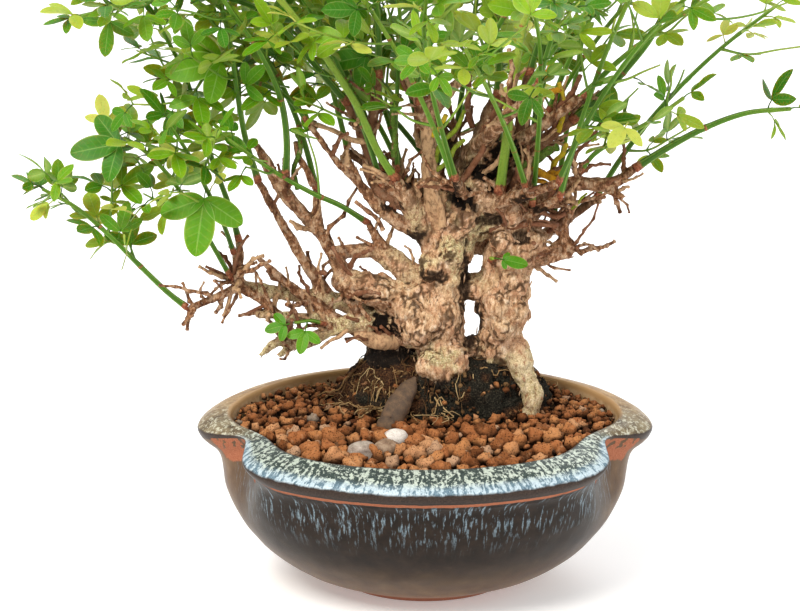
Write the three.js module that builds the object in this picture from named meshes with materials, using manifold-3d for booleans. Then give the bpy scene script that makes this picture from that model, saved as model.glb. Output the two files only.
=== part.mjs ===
// A winter jasmine bonsai in its oval pot, with two old trunks, cut-back limbs and green leafy shoots.
// Millimetres, +Z up. The origin is the middle of the flat foot that the pot stands on. The front faces -Y.
import * as THREE from "three";
import { mergeVertices } from "three/addons/utils/BufferGeometryUtils.js";
import Module from "manifold-3d";

const wasm = await Module();
wasm.setup();

// Driving dimensions of the pot
const POT_HALF_LENGTH = 111;
const POT_HALF_DEPTH = 90;
const POT_HEIGHT = 83;
const POT_DEPTH_RATIO = POT_HALF_DEPTH / POT_HALF_LENGTH;
const FOOT_HEIGHT = 3;
const FLOOR_TOP = 8;
const DRAIN_RADIUS = 6;
const DRAIN_OFFSET = 22;
const DRAIN_SIDES = 12;
const POT_SIDES = 48;

// The two pinched notches between the end lobes and the front lobe, at the lip's edge and at its crest
const NOTCH_TURNS = [THREE.MathUtils.degToRad(21), THREE.MathUtils.degToRad(26)];
const NOTCH_WIDTHS = [THREE.MathUtils.degToRad(13.5), THREE.MathUtils.degToRad(17)];

// Driving dimensions of what fills the pot
const CLEARANCE = 0.35;
const SOIL_TOP = 79;
const SOIL_DOME = 2;
const GRANULE_PITCH = 24;
const GRANULE_HEIGHT = 5;
const BALL_CENTRE = new THREE.Vector2(9, 27);
const BALL_DEPTH_RATIO = 0.56;

// Driving dimensions of the plant
const LEAF_THICKNESS = 0.7;
const PETIOLE = 5;
const LEAFLET_JOIN = 1.4;
const LEAFLET_WIDTH = 0.56;
const SIDE_LEAFLET = 0.8;
const SIDE_SPREAD = THREE.MathUtils.degToRad(64);
const LEAF_SMALL = 11;
const LEAF_LARGE = 17;
const SHOOT_GAP = 0.35;
const STEM_SIDES = 4;
const STALK_LEAN = 0.5;
const LEAF_GAP = 0.9;
const CROWN_AXIS = new THREE.Vector3(22, 22, 0);

// The rows below give a point as the front view shows it: across and up in the upright plane
// through the pot's middle, and the depth behind that plane. The eye stands here.
const EYE = new THREE.Vector3(-12, -1429, 594.6);

// Colours, roughness and metalness by finish
const FINISHES = {
  glaze: new THREE.MeshStandardMaterial({ color: 0x3a2a20, roughness: 0.25, metalness: 0 }),
  soil: new THREE.MeshStandardMaterial({ color: 0x9a4f2c, roughness: 0.95, metalness: 0 }),
  peat: new THREE.MeshStandardMaterial({ color: 0x241f1a, roughness: 1, metalness: 0 }),
  bark: new THREE.MeshStandardMaterial({ color: 0xb08a68, roughness: 0.9, metalness: 0 }),
  leaf: new THREE.MeshStandardMaterial({ color: 0x5a9a1a, roughness: 0.5, metalness: 0 }),
  paleStone: new THREE.MeshStandardMaterial({ color: 0xe6e4de, roughness: 0.7, metalness: 0 }),
  greyStone: new THREE.MeshStandardMaterial({ color: 0x9a968a, roughness: 0.8, metalness: 0 }),
  darkStone: new THREE.MeshStandardMaterial({ color: 0x4e4640, roughness: 0.8, metalness: 0 }),
  paleRoot: new THREE.MeshStandardMaterial({ color: 0xd9a56a, roughness: 0.8, metalness: 0 }),
};

// One stream of numbers from 0 to 1 for each piece, so that a change to one leaves the others alone.
function stream(seed) {
  let state = seed >>> 0;
  return () => {
    state = (state + 0x6d2b79f5) >>> 0;
    let t = state;
    t = Math.imul(t ^ (t >>> 15), t | 1);
    t ^= t + Math.imul(t ^ (t >>> 7), t | 61);
    return ((t ^ (t >>> 14)) >>> 0) / 4294967296;
  };
}

// The real place of a point that the front view shows at (across, up), at the given depth.
function seen(across, depth, up) {
  const share = depth / -EYE.y;
  return new THREE.Vector3(across + (across - EYE.x) * share, depth, up + (up - EYE.z) * share);
}

function solidOf(geometry) {
  const bare = geometry.index ? geometry.toNonIndexed() : geometry.clone();
  bare.deleteAttribute("normal");
  bare.deleteAttribute("uv");
  const merged = mergeVertices(bare, 1e-4);
  return new wasm.Manifold(
    new wasm.Mesh({
      numProp: 3,
      vertProperties: merged.attributes.position.array,
      triVerts: new Uint32Array(merged.index.array),
    }),
  );
}

function joined(solids) {
  return solids.reduce((whole, next) => whole.add(next));
}

// Only the largest body of a solid, which drops any loose scrap.
function mainBody(solid) {
  return solid.decompose().sort((a, b) => b.volume() - a.volume())[0];
}

// A closed skin through rings of equal length, listed from one end to the other. Rings that are listed
// against their turning sense are skinned inwards.
function loft(rings, inwards = false) {
  const sides = rings[0].length;
  const positions = rings.flat().flatMap((p) => [p.x, p.y, p.z]);
  const faces = [];
  for (let k = 1; k < sides - 1; k += 1) {
    faces.push(0, k + 1, k);
    const top = (rings.length - 1) * sides;
    faces.push(top, top + k, top + k + 1);
  }
  for (let i = 0; i < rings.length - 1; i += 1) {
    for (let k = 0; k < sides; k += 1) {
      const a = i * sides + k;
      const b = i * sides + ((k + 1) % sides);
      faces.push(a, b, b + sides, a, b + sides, a + sides);
    }
  }
  const geometry = new THREE.BufferGeometry();
  geometry.setAttribute("position", new THREE.Float32BufferAttribute(positions, 3));
  geometry.setIndex(inwards ? faces.reverse() : faces);
  return geometry;
}

// Frames that follow a run of points without twisting: the way along, and two ways across. The first way
// along may be given, so that a shoot's root lies flat on the end of its spur.
function framesAlong(points, rootWay) {
  const frames = [];
  let across = new THREE.Vector3(0, -1, 0);
  points.forEach((point, i) => {
    const before = points[Math.max(i - 1, 0)];
    const after = points[Math.min(i + 1, points.length - 1)];
    const along = i === 0 && rootWay ? rootWay : after.clone().sub(before).normalize();
    across = across.clone().addScaledVector(along, -across.dot(along));
    if (across.lengthSq() < 1e-3) across = new THREE.Vector3(1, 0, 0).addScaledVector(along, -along.x);
    across.normalize();
    frames.push({ along, across, over: along.clone().cross(across) });
  });
  return frames;
}

// A stem through points, with its own radius at each, few-sided, and knobbly by the given share.
function stem(points, radii, sides, { knobs = 0, seed = 1, grow = 0, rootWay } = {}) {
  const next = stream(seed);
  const rings = framesAlong(points, rootWay).map((frame, i) =>
    Array.from({ length: sides }, (_, k) => {
      const turn = ((k + 0.5) / sides) * 2 * Math.PI;
      const radius = radii[i] * (1 + knobs * (next() - 0.5)) + grow;
      return points[i]
        .clone()
        .addScaledVector(frame.across, radius * Math.cos(turn))
        .addScaledVector(frame.over, radius * Math.sin(turn));
    }),
  );
  return solidOf(loft(rings));
}

// The same, from rows of across, depth, up and radius.
function rowStem(rows, sides, options) {
  const points = rows.map(([across, depth, up]) => seen(across, depth, up));
  return stem(points, rows.map((row) => row[3]), sides, options);
}

// Pot

// How far a point of the rim lies in a notch, from 0 to 1. Inward is 0 at the lip's edge and 1 at its crest.
function notchAt(turn, inward) {
  const fromEnd = Math.atan2(-Math.sin(turn), Math.abs(Math.cos(turn)));
  const middle = THREE.MathUtils.lerp(...NOTCH_TURNS, inward);
  const width = THREE.MathUtils.lerp(...NOTCH_WIDTHS, inward);
  return Math.exp(-(((fromEnd - middle) / width) ** 2));
}

// One ring of the pot. In a notch it is pinched in by its dent, as a share of its size, and lifted.
function potRing({ height, length, depth = length * POT_DEPTH_RATIO, inward = 0, dent = 0, lift = 0 }) {
  return Array.from({ length: POT_SIDES }, (_, k) => {
    const turn = (k / POT_SIDES) * 2 * Math.PI;
    const notch = notchAt(turn, inward);
    const reach = 1 - dent * notch;
    return new THREE.Vector3(
      length * reach * Math.cos(turn),
      depth * reach * Math.sin(turn),
      height + lift * notch,
    );
  });
}

// Outside of the wall, from the foot up to the underside of the lip
const WALL_ROWS = [
  { height: 0, length: 40 },
  { height: FOOT_HEIGHT, length: 45.5 },
  { height: 11, length: 64 },
  { height: 26, length: 82.7 },
  { height: 46, length: 96.2, dent: 0.04 },
  { height: 66, length: 102.5, dent: 0.135, lift: 7 },
];
// The rolled lip, from its underside over its edge to the crest: below the crest, and in from the edge
const LIP_ROWS = [
  { below: 14.5, inside: 4.5, dent: 0.165, lift: 8 },
  { below: 11, inside: 1.2, dent: 0.17, lift: 7.6 },
  { below: 7.6, inside: 0, dent: 0.17, lift: 5.5 },
  { below: 3.8, inside: 4, dent: 0.15, lift: 2.4 },
  { below: 0.7, inside: 11, dent: 0.12, lift: 0.5 },
  { below: 0, inside: 16.2, dent: 0.105, lift: 0 },
];
// Inside of the wall, from the soil's level down to the floor
const INNER_ROWS = [
  { height: SOIL_TOP, length: 93.5, depth: 73.7, inward: 1, dent: 0.103 },
  { height: 60, length: 92.5, depth: 74, inward: 1, dent: 0.09 },
  { height: 44, length: 88, depth: 71.5, inward: 1, dent: 0.03 },
  { height: FLOOR_TOP, length: 46 },
];

function pot() {
  const lip = LIP_ROWS.map(({ below, inside, dent, lift }) =>
    potRing({
      height: POT_HEIGHT - below,
      length: POT_HALF_LENGTH - inside,
      depth: POT_HALF_DEPTH - inside,
      inward: inside / LIP_ROWS[LIP_ROWS.length - 1].inside,
      dent,
      lift,
    }),
  );
  let body = solidOf(loft([...WALL_ROWS.map(potRing), ...lip, ...INNER_ROWS.map(potRing)]));
  for (const side of [-1, 1]) {
    const drain = new THREE.CylinderGeometry(DRAIN_RADIUS, DRAIN_RADIUS, 4 * FLOOR_TOP, DRAIN_SIDES);
    drain.rotateX(Math.PI / 2).translate(side * DRAIN_OFFSET, 0, 0);
    body = body.subtract(solidOf(drain));
  }
  return body;
}

// Soil, root ball and what lies on them

// The space that the soil may fill, clear of the pot's wall, up to the given height.
function potFill(top) {
  const rows = INNER_ROWS.map((row) => ({
    ...row,
    height: row.height === FLOOR_TOP ? FLOOR_TOP + CLEARANCE : row.height,
    length: row.length - 2 * CLEARANCE,
    depth: (row.depth ?? row.length * POT_DEPTH_RATIO) - 2 * CLEARANCE,
  }));
  return solidOf(loft([{ ...rows[0], height: top }, ...rows].map(potRing), true));
}

// Height and half-length of the root ball: its underground part and the mound that the trunks stand in
const BALL_ROWS = [
  [50, 42],
  [80, 53],
  [91, 48],
  [101, 38],
  [107, 20],
];
const BALL_SIDES = 16;

// The lumpy root ball.
function rootBallBody(grow) {
  const rings = BALL_ROWS.map(([height, half], i) =>
    Array.from({ length: BALL_SIDES }, (_, k) => {
      const turn = (k / BALL_SIDES) * 2 * Math.PI;
      const lump = 1 + 0.05 * Math.sin(3 * turn + i) + 0.04 * Math.sin(5 * turn - 2 * i);
      const reach = half * lump + grow;
      const end = i === 0 ? -grow : i === BALL_ROWS.length - 1 ? grow : 0;
      return new THREE.Vector3(
        BALL_CENTRE.x + reach * Math.cos(turn),
        BALL_CENTRE.y + (half * lump * BALL_DEPTH_RATIO + grow) * Math.sin(turn),
        height + end,
      );
    }),
  );
  return solidOf(loft(rings));
}

// A stone: a few-sided ball, squashed and turned, with its corners moved by its own stream.
function stone(place, size, seed, grow = 0) {
  const next = stream(seed);
  const ball = new THREE.IcosahedronGeometry(1, 0);
  const merged = mergeVertices(ball.deleteAttribute("normal").deleteAttribute("uv"), 1e-4);
  const corners = merged.attributes.position;
  for (let i = 0; i < corners.count; i += 1) {
    const swell = THREE.MathUtils.lerp(0.86, 1.14, next());
    const [x, y, z] = size.map((half, axis) => corners.getComponent(i, axis) * (half * swell + grow));
    corners.setXYZ(i, x, y, z);
  }
  merged.rotateZ(next() * 2 * Math.PI);
  merged.translate(place.x, place.y, place.z);
  return solidOf(merged);
}

const STONES = {
  pebble_white: { place: seen(-14, -28, 71.5), size: [6, 4.6, 4.4], finish: "paleStone", seed: 11 },
  pebble_grey: { place: seen(-30, -43, 64), size: [7.6, 6, 5.4], finish: "greyStone", seed: 12 },
  pebble_brown: { place: seen(-17.5, -39, 66), size: [6.8, 5.4, 5], finish: "darkStone", seed: 13 },
};

// A smooth dark slab that leans on the front of the root ball.
const SLAB_SIDES = 7;
const SLAB_ROWS = [
  [-19, -12, 72, 4.4],
  [-15.5, -9, 82, 5.4],
  [-10.5, -4, 92, 5.2],
  [-6, 1, 100, 4],
];

// A bare root that lies on the granules at the front.
const LOOSE_ROOT_SIDES = 5;
const LOOSE_ROOT_ROWS = [
  [-4, -29, 72.5, 1],
  [0, -31.5, 71.5, 1.2],
  [5, -37, 69, 1.1],
  [9, -42, 66.5, 0.9],
];

// The soil's granules as relief: a lattice three steps to a granule, whose middle and ring stand up and
// whose corners sink, each granule by its own stream.
function granuleField() {
  const step = GRANULE_PITCH / 3;
  const rowStep = step * Math.sqrt(0.75);
  const half = INNER_ROWS[0].length + step;
  const columns = 2 * Math.ceil(half / step) + 1;
  const rows = 2 * Math.ceil((half * POT_DEPTH_RATIO) / rowStep) + 1;
  const positions = [];
  for (let j = 0; j < rows; j += 1) {
    for (let i = 0; i < columns; i += 1) {
      const shift = i + Math.floor(j / 2);
      const third = (((shift - 2 * j) % 3) + 3) % 3;
      const next = stream(7000 + 211 * j + i);
      const cell = stream(7700 + 31 * Math.floor(j / 3) + 7 * Math.floor((i + (j % 2)) / 3));
      const x = (i - (columns - 1) / 2 + (j % 2 ? 0.5 : 0) + 0.3 * (next() - 0.5)) * step;
      const y = (j - (rows - 1) / 2 + 0.3 * (next() - 0.5)) * rowStep;
      const middling = 1 - (x / half) ** 2 - (y / (half * POT_DEPTH_RATIO)) ** 2;
      const stand = third > 0 ? 0.35 : j % 3 === 0 ? 0.6 : -0.2;
      positions.push(x, y, SOIL_TOP + SOIL_DOME * middling + GRANULE_HEIGHT * (stand + 0.5 * (cell() - 0.5)));
    }
  }
  return { positions, columns, rows };
}

// The relief as a block that reaches below the pot's floor.
function granuleBlock() {
  const { positions, columns, rows } = granuleField();
  const count = columns * rows;
  const floor = [];
  for (let i = 0; i < count; i += 1) floor.push(positions[3 * i], positions[3 * i + 1], -FLOOR_TOP);
  const faces = [];
  for (let j = 0; j < rows - 1; j += 1) {
    for (let i = 0; i < columns - 1; i += 1) {
      const a = j * columns + i;
      const c = a + columns;
      const upper = j % 2 ? [a, a + 1, c + 1, a, c + 1, c] : [a, a + 1, c, a + 1, c + 1, c];
      faces.push(...upper);
      for (let k = 0; k < 6; k += 3) faces.push(count + upper[k], count + upper[k + 2], count + upper[k + 1]);
    }
  }
  const edge = [];
  for (let i = 0; i < columns; i += 1) edge.push(i);
  for (let j = 1; j < rows; j += 1) edge.push(j * columns + columns - 1);
  for (let i = columns - 2; i >= 0; i -= 1) edge.push((rows - 1) * columns + i);
  for (let j = rows - 2; j > 0; j -= 1) edge.push(j * columns);
  edge.forEach((a, k) => {
    const b = edge[(k + 1) % edge.length];
    faces.push(a, count + a, count + b, a, count + b, b);
  });
  const geometry = new THREE.BufferGeometry();
  geometry.setAttribute("position", new THREE.Float32BufferAttribute([...positions, ...floor], 3));
  geometry.setIndex(faces);
  return solidOf(geometry);
}

// Wood: rows of across, depth, up and radius for each trunk and limb, with its number of sides

const TRUNK_ROWS = [
  // left trunk, from the root ball to its dead top
  [9, [
    [9, 18, 84, 11], [9, 18, 100, 13], [8, 18, 112, 12.8], [8, 18, 121, 10.4], [7, 18, 133, 11.6],
    [8, 18, 148, 10.2], [10, 18, 163, 10.2], [14, 18, 178, 11], [20, 19, 195, 10.6], [26, 21, 214, 8],
    [33, 22, 240, 3],
  ]],
  // right trunk and the branch that carries it on
  [9, [
    [33, 24, 94, 8], [33, 23, 110, 9], [35, 22, 121, 10.6], [37, 22, 134, 12.4], [37, 22, 147, 12.4],
    [39, 22, 160, 11.8], [43, 21, 176, 10], [46, 21, 195, 7.4], [44, 22, 209, 5.4], [45, 22, 225, 3.8],
    [48, 22, 251, 2.3],
  ]],
  // bare root that runs down from the right trunk into the soil
  [6, [
    [39, 21, 124, 6.4], [45, 16, 114, 6], [47, 14, 105, 5.4], [51, 11, 96, 5.4], [51, 9, 86, 4.8],
    [47, 10, 74, 3],
  ]],
  // dark stump behind the left trunk
  [7, [
    [-12, 24, 86, 9.4], [-15, 23, 104, 11], [-18, 23, 120, 10.6], [-16, 24, 135, 9], [-2, 21, 148, 8],
  ]],
];

const TRUNK_KNOBS = 0.2;
const LIMB_KNOBS = 0.12;
const BARK_SEED = 100;

const LIMB_ROWS = [
  // burl on the left trunk
  [6, [[2, 15, 121, 5.4], [-6, 12, 127, 9], [-6, 12, 139, 7]]],
  // shoulder between the trunks, and the old mass above it
  [6, [[8, 20, 146, 8], [20, 21, 148, 6.6], [34, 22, 148, 9]]],
  [7, [[12, 20, 176, 9], [28, 21, 184, 10.5], [46, 21, 188, 9]]],
  [6, [[16, 20, 202, 8.4], [31, 21, 203, 7.4], [45, 21, 204, 5.4]]],
  // cut stub on the right trunk, and a flake of broken wood by the stump
  [6, [[42, 19, 173, 6.8], [54, 11, 171, 5.4]]],
  [4, [[-14, 15, 121, 4], [-23, 11, 121, 4.2], [-33, 9, 123.5, 1.8]]],
  // thick cut-back limb to the left, its lower layer and its stub
  [6, [[-2, 18, 146, 8], [-14, 17, 144.5, 6.8], [-27, 15, 149, 6], [-38, 14, 151.5, 4.8]]],
  [4, [[-8, 16, 134, 5], [-24, 13, 141.5, 4.2], [-41, 12, 150, 2.8]]],
  [4, [[-40, 13, 149.5, 2.8], [-32, 10, 135, 2.6]]],
  // rising stem on that limb, and its rough fork
  [5, [[-37, 14, 152, 4.4], [-43, 14, 162, 3.2], [-50, 15, 177, 2.6], [-51.5, 17, 196, 2]]],
  [5, [[-49, 15, 173, 2.8], [-57, 13, 183, 3], [-66, 10, 194, 3.4], [-79, 8, 217, 2]]],
  // limb that runs level to the left, its riser and the pale stub above it
  [5, [[0, 18, 152, 6], [-9, 18, 156, 5.2], [-20, 20, 164, 4.6], [-43, 16, 166, 2.6]]],
  [4, [[-18, 20, 163, 3.4], [-27, 18, 179.5, 1.8]]],
  [5, [[2, 17, 172, 5], [-13, 14, 180, 3.6], [-27, 9, 193, 2.8], [-37, 7, 211, 1.9]]],
  [4, [[-30, 8, 197, 2], [-42, 6, 210, 1.7], [-54.5, 4, 227.5, 1.4]]],
  // limb under the long bright shoot, and the reddish riser beside it
  [5, [[5, 17, 166, 6], [-4, 12, 182, 4.8], [-10, 8, 195, 4], [-14, 5, 201, 2.2]]],
  [4, [[-6, 13, 186, 4], [-26, 15, 202, 3], [-25, 16, 226, 2.7], [-22, 16, 250, 2.1]]],
  [4, [[-26, 15, 212, 2.4], [-36, 13, 237, 2.2]]],
  // pale limb up the middle, its knot and two forks
  [5, [[11, 16, 176, 6], [4, 12, 190, 4.4], [2, 11, 212, 3.8], [1, 12, 234, 4.2]]],
  [4, [[1, 12, 231, 3.4], [17, 15, 250, 1.9]]],
  [4, [[0, 12, 232, 3], [-11, 13, 254, 1.6]]],
  // collar of the pale thick shoot
  [5, [[30, 17, 184, 6], [35, 7, 195, 2.9]]],
  // long limb to the right, its stub and a level twig
  [5, [[44, 20, 177, 6.4], [56, 15, 192, 3.8], [66, 13, 198, 3.6], [90, 11, 200, 2.8], [98, 11, 206, 2.1]]],
  [4, [[83, 11, 198, 2.6], [93, 8, 192, 1.4]]],
  [4, [[45, 17, 184, 3.2], [67, 10, 190, 1.6]]],
  // low limb to the right with its riser and two green stubs
  [5, [[40, 18, 160, 6.6], [50, 15, 161, 4], [68.5, 11, 165, 3.2]]],
  [4, [[67, 11, 164, 2.6], [66, 11, 178, 2.2], [71, 11, 190.5, 1.4]]],
  [3, [[66, 11, 172, 1.8], [54, 8, 163, 1.5]]],
  [3, [[66, 11, 173, 1.7], [74, 8, 164, 1.4]]],
  // limb to the upper right and its dead twig
  [4, [[44, 21, 205, 4.6], [53, 18, 218, 3.2], [68, 15, 229, 2.1]]],
  [3, [[61, 17, 223, 2], [71, 14, 249, 1.3]]],
  // pale low branch to the left with its curled ends
  [5, [[-15, 19, 130, 7], [-35, 11, 130, 4.6], [-48, 9, 125, 3.2], [-60, 7, 119, 2.8], [-70, 5, 120.5, 2.2],
    [-79, 3, 113.5, 1.3]]],
  [3, [[-61, 7, 119, 2.2], [-70, 4, 113.5, 1.4]]],
  [4, [[-61, 7, 119, 2.6], [-67, 8, 129, 2.5], [-77, 8, 140.5, 2.4], [-90, 7, 149, 2.4]]],
  [4, [[-88, 7, 148, 2.2], [-112.5, 4, 137, 1.6]]],
  // mossy limb behind it, with the stems that rise from it
  [5, [[-17, 23, 130, 6.8], [-42, 18, 141, 4.4], [-65, 14, 144, 3.4], [-89, 9, 149, 2.4]]],
  [4, [[-46, 18, 142, 3.8], [-57, 17, 160, 2.6], [-78.5, 10, 199.5, 1.8]]],
  [4, [[-40, 12, 130, 3], [-60, 9.5, 145, 2.5], [-80, 6, 163, 1.4]]],
  [3, [[-44, 11, 132, 2.5], [-80, 4, 134, 1.8]]],
  // spurs at the far end of the low branches
  [4, [[-89, 8, 148, 2.4], [-90.5, 8, 164, 1.5]]],
  [4, [[-88, 9, 149, 2.4], [-88, 14, 170, 1.6]]],
  [4, [[-89, 7, 149, 2.2], [-92, 3, 152, 1.5]]],
  // spurs under single shoots
  [4, [[-67, 10, 195, 2.8], [-65.8, 8.3, 201.8, 1.9]]],
  [4, [[-9, 11, 193, 3], [-13, 13, 204, 1.5]]],
  [4, [[2, 12, 229, 3], [4, 19, 238, 1.8]]],
  [4, [[-1, 11, 231, 3], [-3, 7, 238, 1.9]]],
  [4, [[70, 12, 197, 2.6], [72, 11, 204, 1.5]]],
  [4, [[34, 18, 158, 2.4], [31, 9, 161, 1.3]]],
  [4, [[-44, 9, 127, 2.4], [-47, 5, 129, 1]]],
];

// Limbs to the sides that the rows above leave open, by one rule: each forks into a spur part of the way out
const RULED_LIMBS = 13;
const LIMB_SHARES = [0.12, 0.5, 1];
const FORK_SHARE = 0.3;
const SPUR_TURN = 0.9;
const RULED_RADII = [1.5, 0.9];
const STEM_GAP = 2.5;
const LIMB_SEED = 430;
const FIRST_BEARING = THREE.MathUtils.degToRad(-104);
const BEARING_STEP = THREE.MathUtils.degToRad(25);
const FRONT_LIFT = 42;
const GOLDEN = 0.618;

// Plain data of one ruled limb: points, radii, and where it is heading.
function ruledLimb(i) {
  const next = stream(LIMB_SEED + i);
  const bearing = FIRST_BEARING + i * BEARING_STEP + 0.2 * (next() - 0.5);
  const low = 140 + 48 * ((i * GOLDEN) % 1) + FRONT_LIFT * Math.max(0, -Math.sin(bearing));
  const reach = 40 + 24 * next();
  const rise = 0.35 + 0.6 * next();
  const bend = 0.7 * (next() - 0.5);
  const points = LIMB_SHARES.map((t) => {
    const way = bearing + bend * t;
    return new THREE.Vector3(
      CROWN_AXIS.x + reach * t * Math.cos(way),
      CROWN_AXIS.y + reach * t * Math.sin(way),
      low + rise * reach * t ** 1.3,
    );
  });
  return { points, radii: LIMB_SHARES.map((t) => 4.6 - 2.5 * t), bearing: bearing + bend, sides: 4 };
}

// Shoots

// Rows of across, depth and up, with the radius at the root and at the tip. They start on a spur's end.
const SHOOT_ROWS = {
  shoot_long_bright: [2.1, 1.4, [
    [-14, 5, 201], [-21, 2, 212], [-34, -5, 240], [-46, -9, 259], [-60, -12, 278], [-76, -14, 297],
    [-93, -13, 316],
  ]],
  shoot_riser: [2, 1.2, [
    [-22, 16, 250], [-22, 16, 268], [-24, 14, 292], [-30, 13, 316], [-42, 11, 342],
  ]],
  shoot_fork: [1.8, 1.1, [[17, 15, 250], [26, 16, 262], [36, 18, 279], [44, 20, 297], [55, 22, 320]]],
  shoot_knot_front: [1.9, 1.1, [[-3, 7, 238], [-3, 6, 258], [-5, 7, 284], [-9, 6, 312], [-15, 5, 342]]],
  shoot_knot_back: [1.6, 1, [[4, 19, 238], [7, 22, 254], [12, 22, 276], [17, 23, 300], [23, 25, 324]]],
  shoot_pale: [2.6, 1.6, [
    [35, 7, 195], [37.5, 3, 217], [40, -1, 241], [44, -4, 268], [49, -6, 293], [56, -8, 320],
  ]],
  shoot_right_high: [2, 1.2, [
    [68, 15, 229], [80, 13, 240], [94, 11, 255], [105, 10, 270], [113, 8, 290], [120, 8, 320],
  ]],
  shoot_right_long: [2, 1.1, [
    [98, 11, 206], [113, 9, 216], [131, 7, 226], [150, 5, 233], [170, 4, 235],
  ]],
  shoot_low_left: [1.6, 0.9, [
    [-112.5, 4, 137], [-120, 3, 143], [-135, 1, 158], [-150, 0, 174], [-166, 0, 188], [-180, 0, 196],
  ]],
  shoot_left_riser: [1.7, 1.1, [
    [-78.5, 10, 199.5], [-84, 8, 219], [-88, 6, 244], [-91, 4, 268], [-98, 2, 296],
  ]],
  shoot_left_arch: [1.9, 1.1, [
    [-65.8, 8.3, 201.8], [-65, 7, 217], [-68, 2, 241], [-77, -5, 262], [-91, -12, 283], [-106, -18, 308],
  ]],
  shoot_left_back: [1.6, 1, [
    [-88, 14, 170], [-92, 15, 186], [-99, 16, 207], [-106, 15, 230], [-112, 14, 251], [-123, 12, 274],
  ]],
  shoot_left_leafy: [1.3, 0.9, [
    [-90.5, 8, 164], [-95, 3, 178], [-103, -6, 196], [-110, -8, 211], [-120, -8, 228],
  ]],
  shoot_left_front: [1.3, 0.9, [
    [-92, 3, 152], [-101, 6, 169], [-113, 6, 191], [-126, 1, 209], [-136, -3, 218], [-141, -4, 221],
  ]],
  shoot_level_left: [1.5, 0.9, [
    [-27, 18, 179.5], [-40, 11, 188], [-53, 4, 194], [-70, -5, 204], [-92, -12, 220],
  ]],
  shoot_rising_left: [1.6, 1, [
    [-51.5, 17, 196], [-55, 18, 212], [-61, 19, 232], [-71, 19, 254], [-88, 18, 277], [-108, 16, 292],
  ]],
  shoot_wide_arch: [1.9, 1.1, [
    [-36, 13, 237], [-45, 13, 248], [-58, 13, 264], [-75, 12, 281], [-99, 10, 289], [-128, 7, 286],
    [-160, 4, 279],
  ]],
  shoot_top_right: [1.8, 1.1, [
    [48, 22, 251], [53, 24, 268], [64, 26, 287], [80, 29, 306], [98, 32, 326],
  ]],
  shoot_top: [1.8, 1.1, [[33, 22, 240], [34, 24, 258], [31, 26, 282], [27, 28, 308], [23, 32, 338]]],
  shoot_centre: [1.3, 0.9, [
    [-13, 13, 204], [-14, 15, 224], [-13, 17, 250], [-12, 19, 278], [-16, 22, 306],
  ]],
  shoot_thin_left: [1.2, 0.8, [
    [-54.5, 4, 227.5], [-64, 9, 240], [-80, 9, 248], [-99, 6, 251], [-118, 3, 250],
  ]],
  shoot_right_leafy: [1.3, 0.9, [
    [72, 11, 204], [79, 7, 213], [91, 2, 221], [105, -3, 229], [120, -6, 240],
  ]],
  shoot_on_trunk: [1.1, 0.8, [[31, 9, 161], [31, 6, 162], [32, 3, 162]]],
  shoot_low_twig: [0.9, 0.7, [[-47, 5, 129], [-54, 1, 131], [-62, -3, 130]]],
};

// Leaves that the front view shows large: span of the stem, share of that span, the way that the leaf
// points, and the length of its middle leaflet.
const LARGE_LEAVES = {
  shoot_left_leafy: [[2, 0.05, [-0.15, -0.5, -0.85], 27]],
  shoot_left_front: [[4, 0.5, [-0.98, -0.1, -0.15], 23]],
  shoot_left_riser: [[2, 0.6, [-0.95, -0.3, -0.1], 26]],
  shoot_riser: [[0, 0.6, [-0.95, -0.3, -0.1], 19]],
  shoot_fork: [[0, 0.7, [0.6, -0.75, 0.25], 14]],
  shoot_on_trunk: [[1, 0.5, [0.96, -0.25, -0.1], 12]],
  shoot_low_twig: [[1, 0.3, [-0.2, -0.6, -0.75], 11], [2, 0.5, [-0.95, -0.1, -0.2], 10]],
};
const LEAVES_PER_SHOOT = 3;
const LEAF_TRIES = [[0.5, 1], [0.3, 1], [0.7, 1], [0.5, 0.75], [0.3, 0.75], [0.7, 0.75]];

// Shoots that follow one rule, from the tips and sides of the ruled limbs
const SHOOT_SEED = 800;
const CROWN_TOP = 335;
const RIGHT_REACH = 0.72;
const DEPTH_REACH = 0.85;
const FRONT_RISE = 0.36;
const TRIES = 24;
const ROOT_REACH = 7;
const BALL_PITCH = 3;

// A run of points for one ruled shoot: it leaves along a bearing, and is steep from 0 to 1. Shoots that
// lean to the front rise more, so that the trunks stay in view.
function ruledShoot(root, bearing, steep, next) {
  const reach = (1 - steep) * 95 + 34 + 26 * next();
  const height = Math.min(42 + steep * 95 + 22 * next(), CROWN_TOP - root.z - 12);
  const curl = 0.5 * (next() - 0.5);
  return [0, 0.2, 0.45, 0.72, 1].map((t) => {
    const way = bearing + curl * t;
    const out = reach * t * (0.72 + 0.28 * t);
    const across = out * Math.cos(way);
    const back = out * Math.sin(way) * DEPTH_REACH;
    const up = root.z + height * (1.32 * t - 0.32 * t * t) - FRONT_RISE * Math.min(0, back);
    return new THREE.Vector3(
      root.x + across * (across > 0 ? RIGHT_REACH : 1),
      root.y + back,
      Math.min(up, CROWN_TOP),
    );
  });
}

// Balls along a stem, close enough together to stand for it when pieces are kept apart.
function ballsAlong(points, rootRadius, tipRadius) {
  const balls = [];
  for (let i = 0; i < points.length - 1; i += 1) {
    const count = Math.max(1, Math.ceil(points[i].distanceTo(points[i + 1]) / BALL_PITCH));
    for (let k = 0; k < count; k += 1) {
      const t = (i + k / count) / (points.length - 1);
      const centre = points[i].clone().lerp(points[i + 1], k / count);
      balls.push({ centre, radius: rootRadius + (tipRadius - rootRadius) * t });
    }
  }
  balls.push({ centre: points[points.length - 1].clone(), radius: tipRadius });
  return balls;
}

function isClear(balls, others, gap) {
  return balls.every((a) =>
    others.every((b) => {
      const reach = a.radius + b.radius + gap;
      return a.centre.distanceToSquared(b.centre) > reach * reach;
    }),
  );
}

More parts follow.
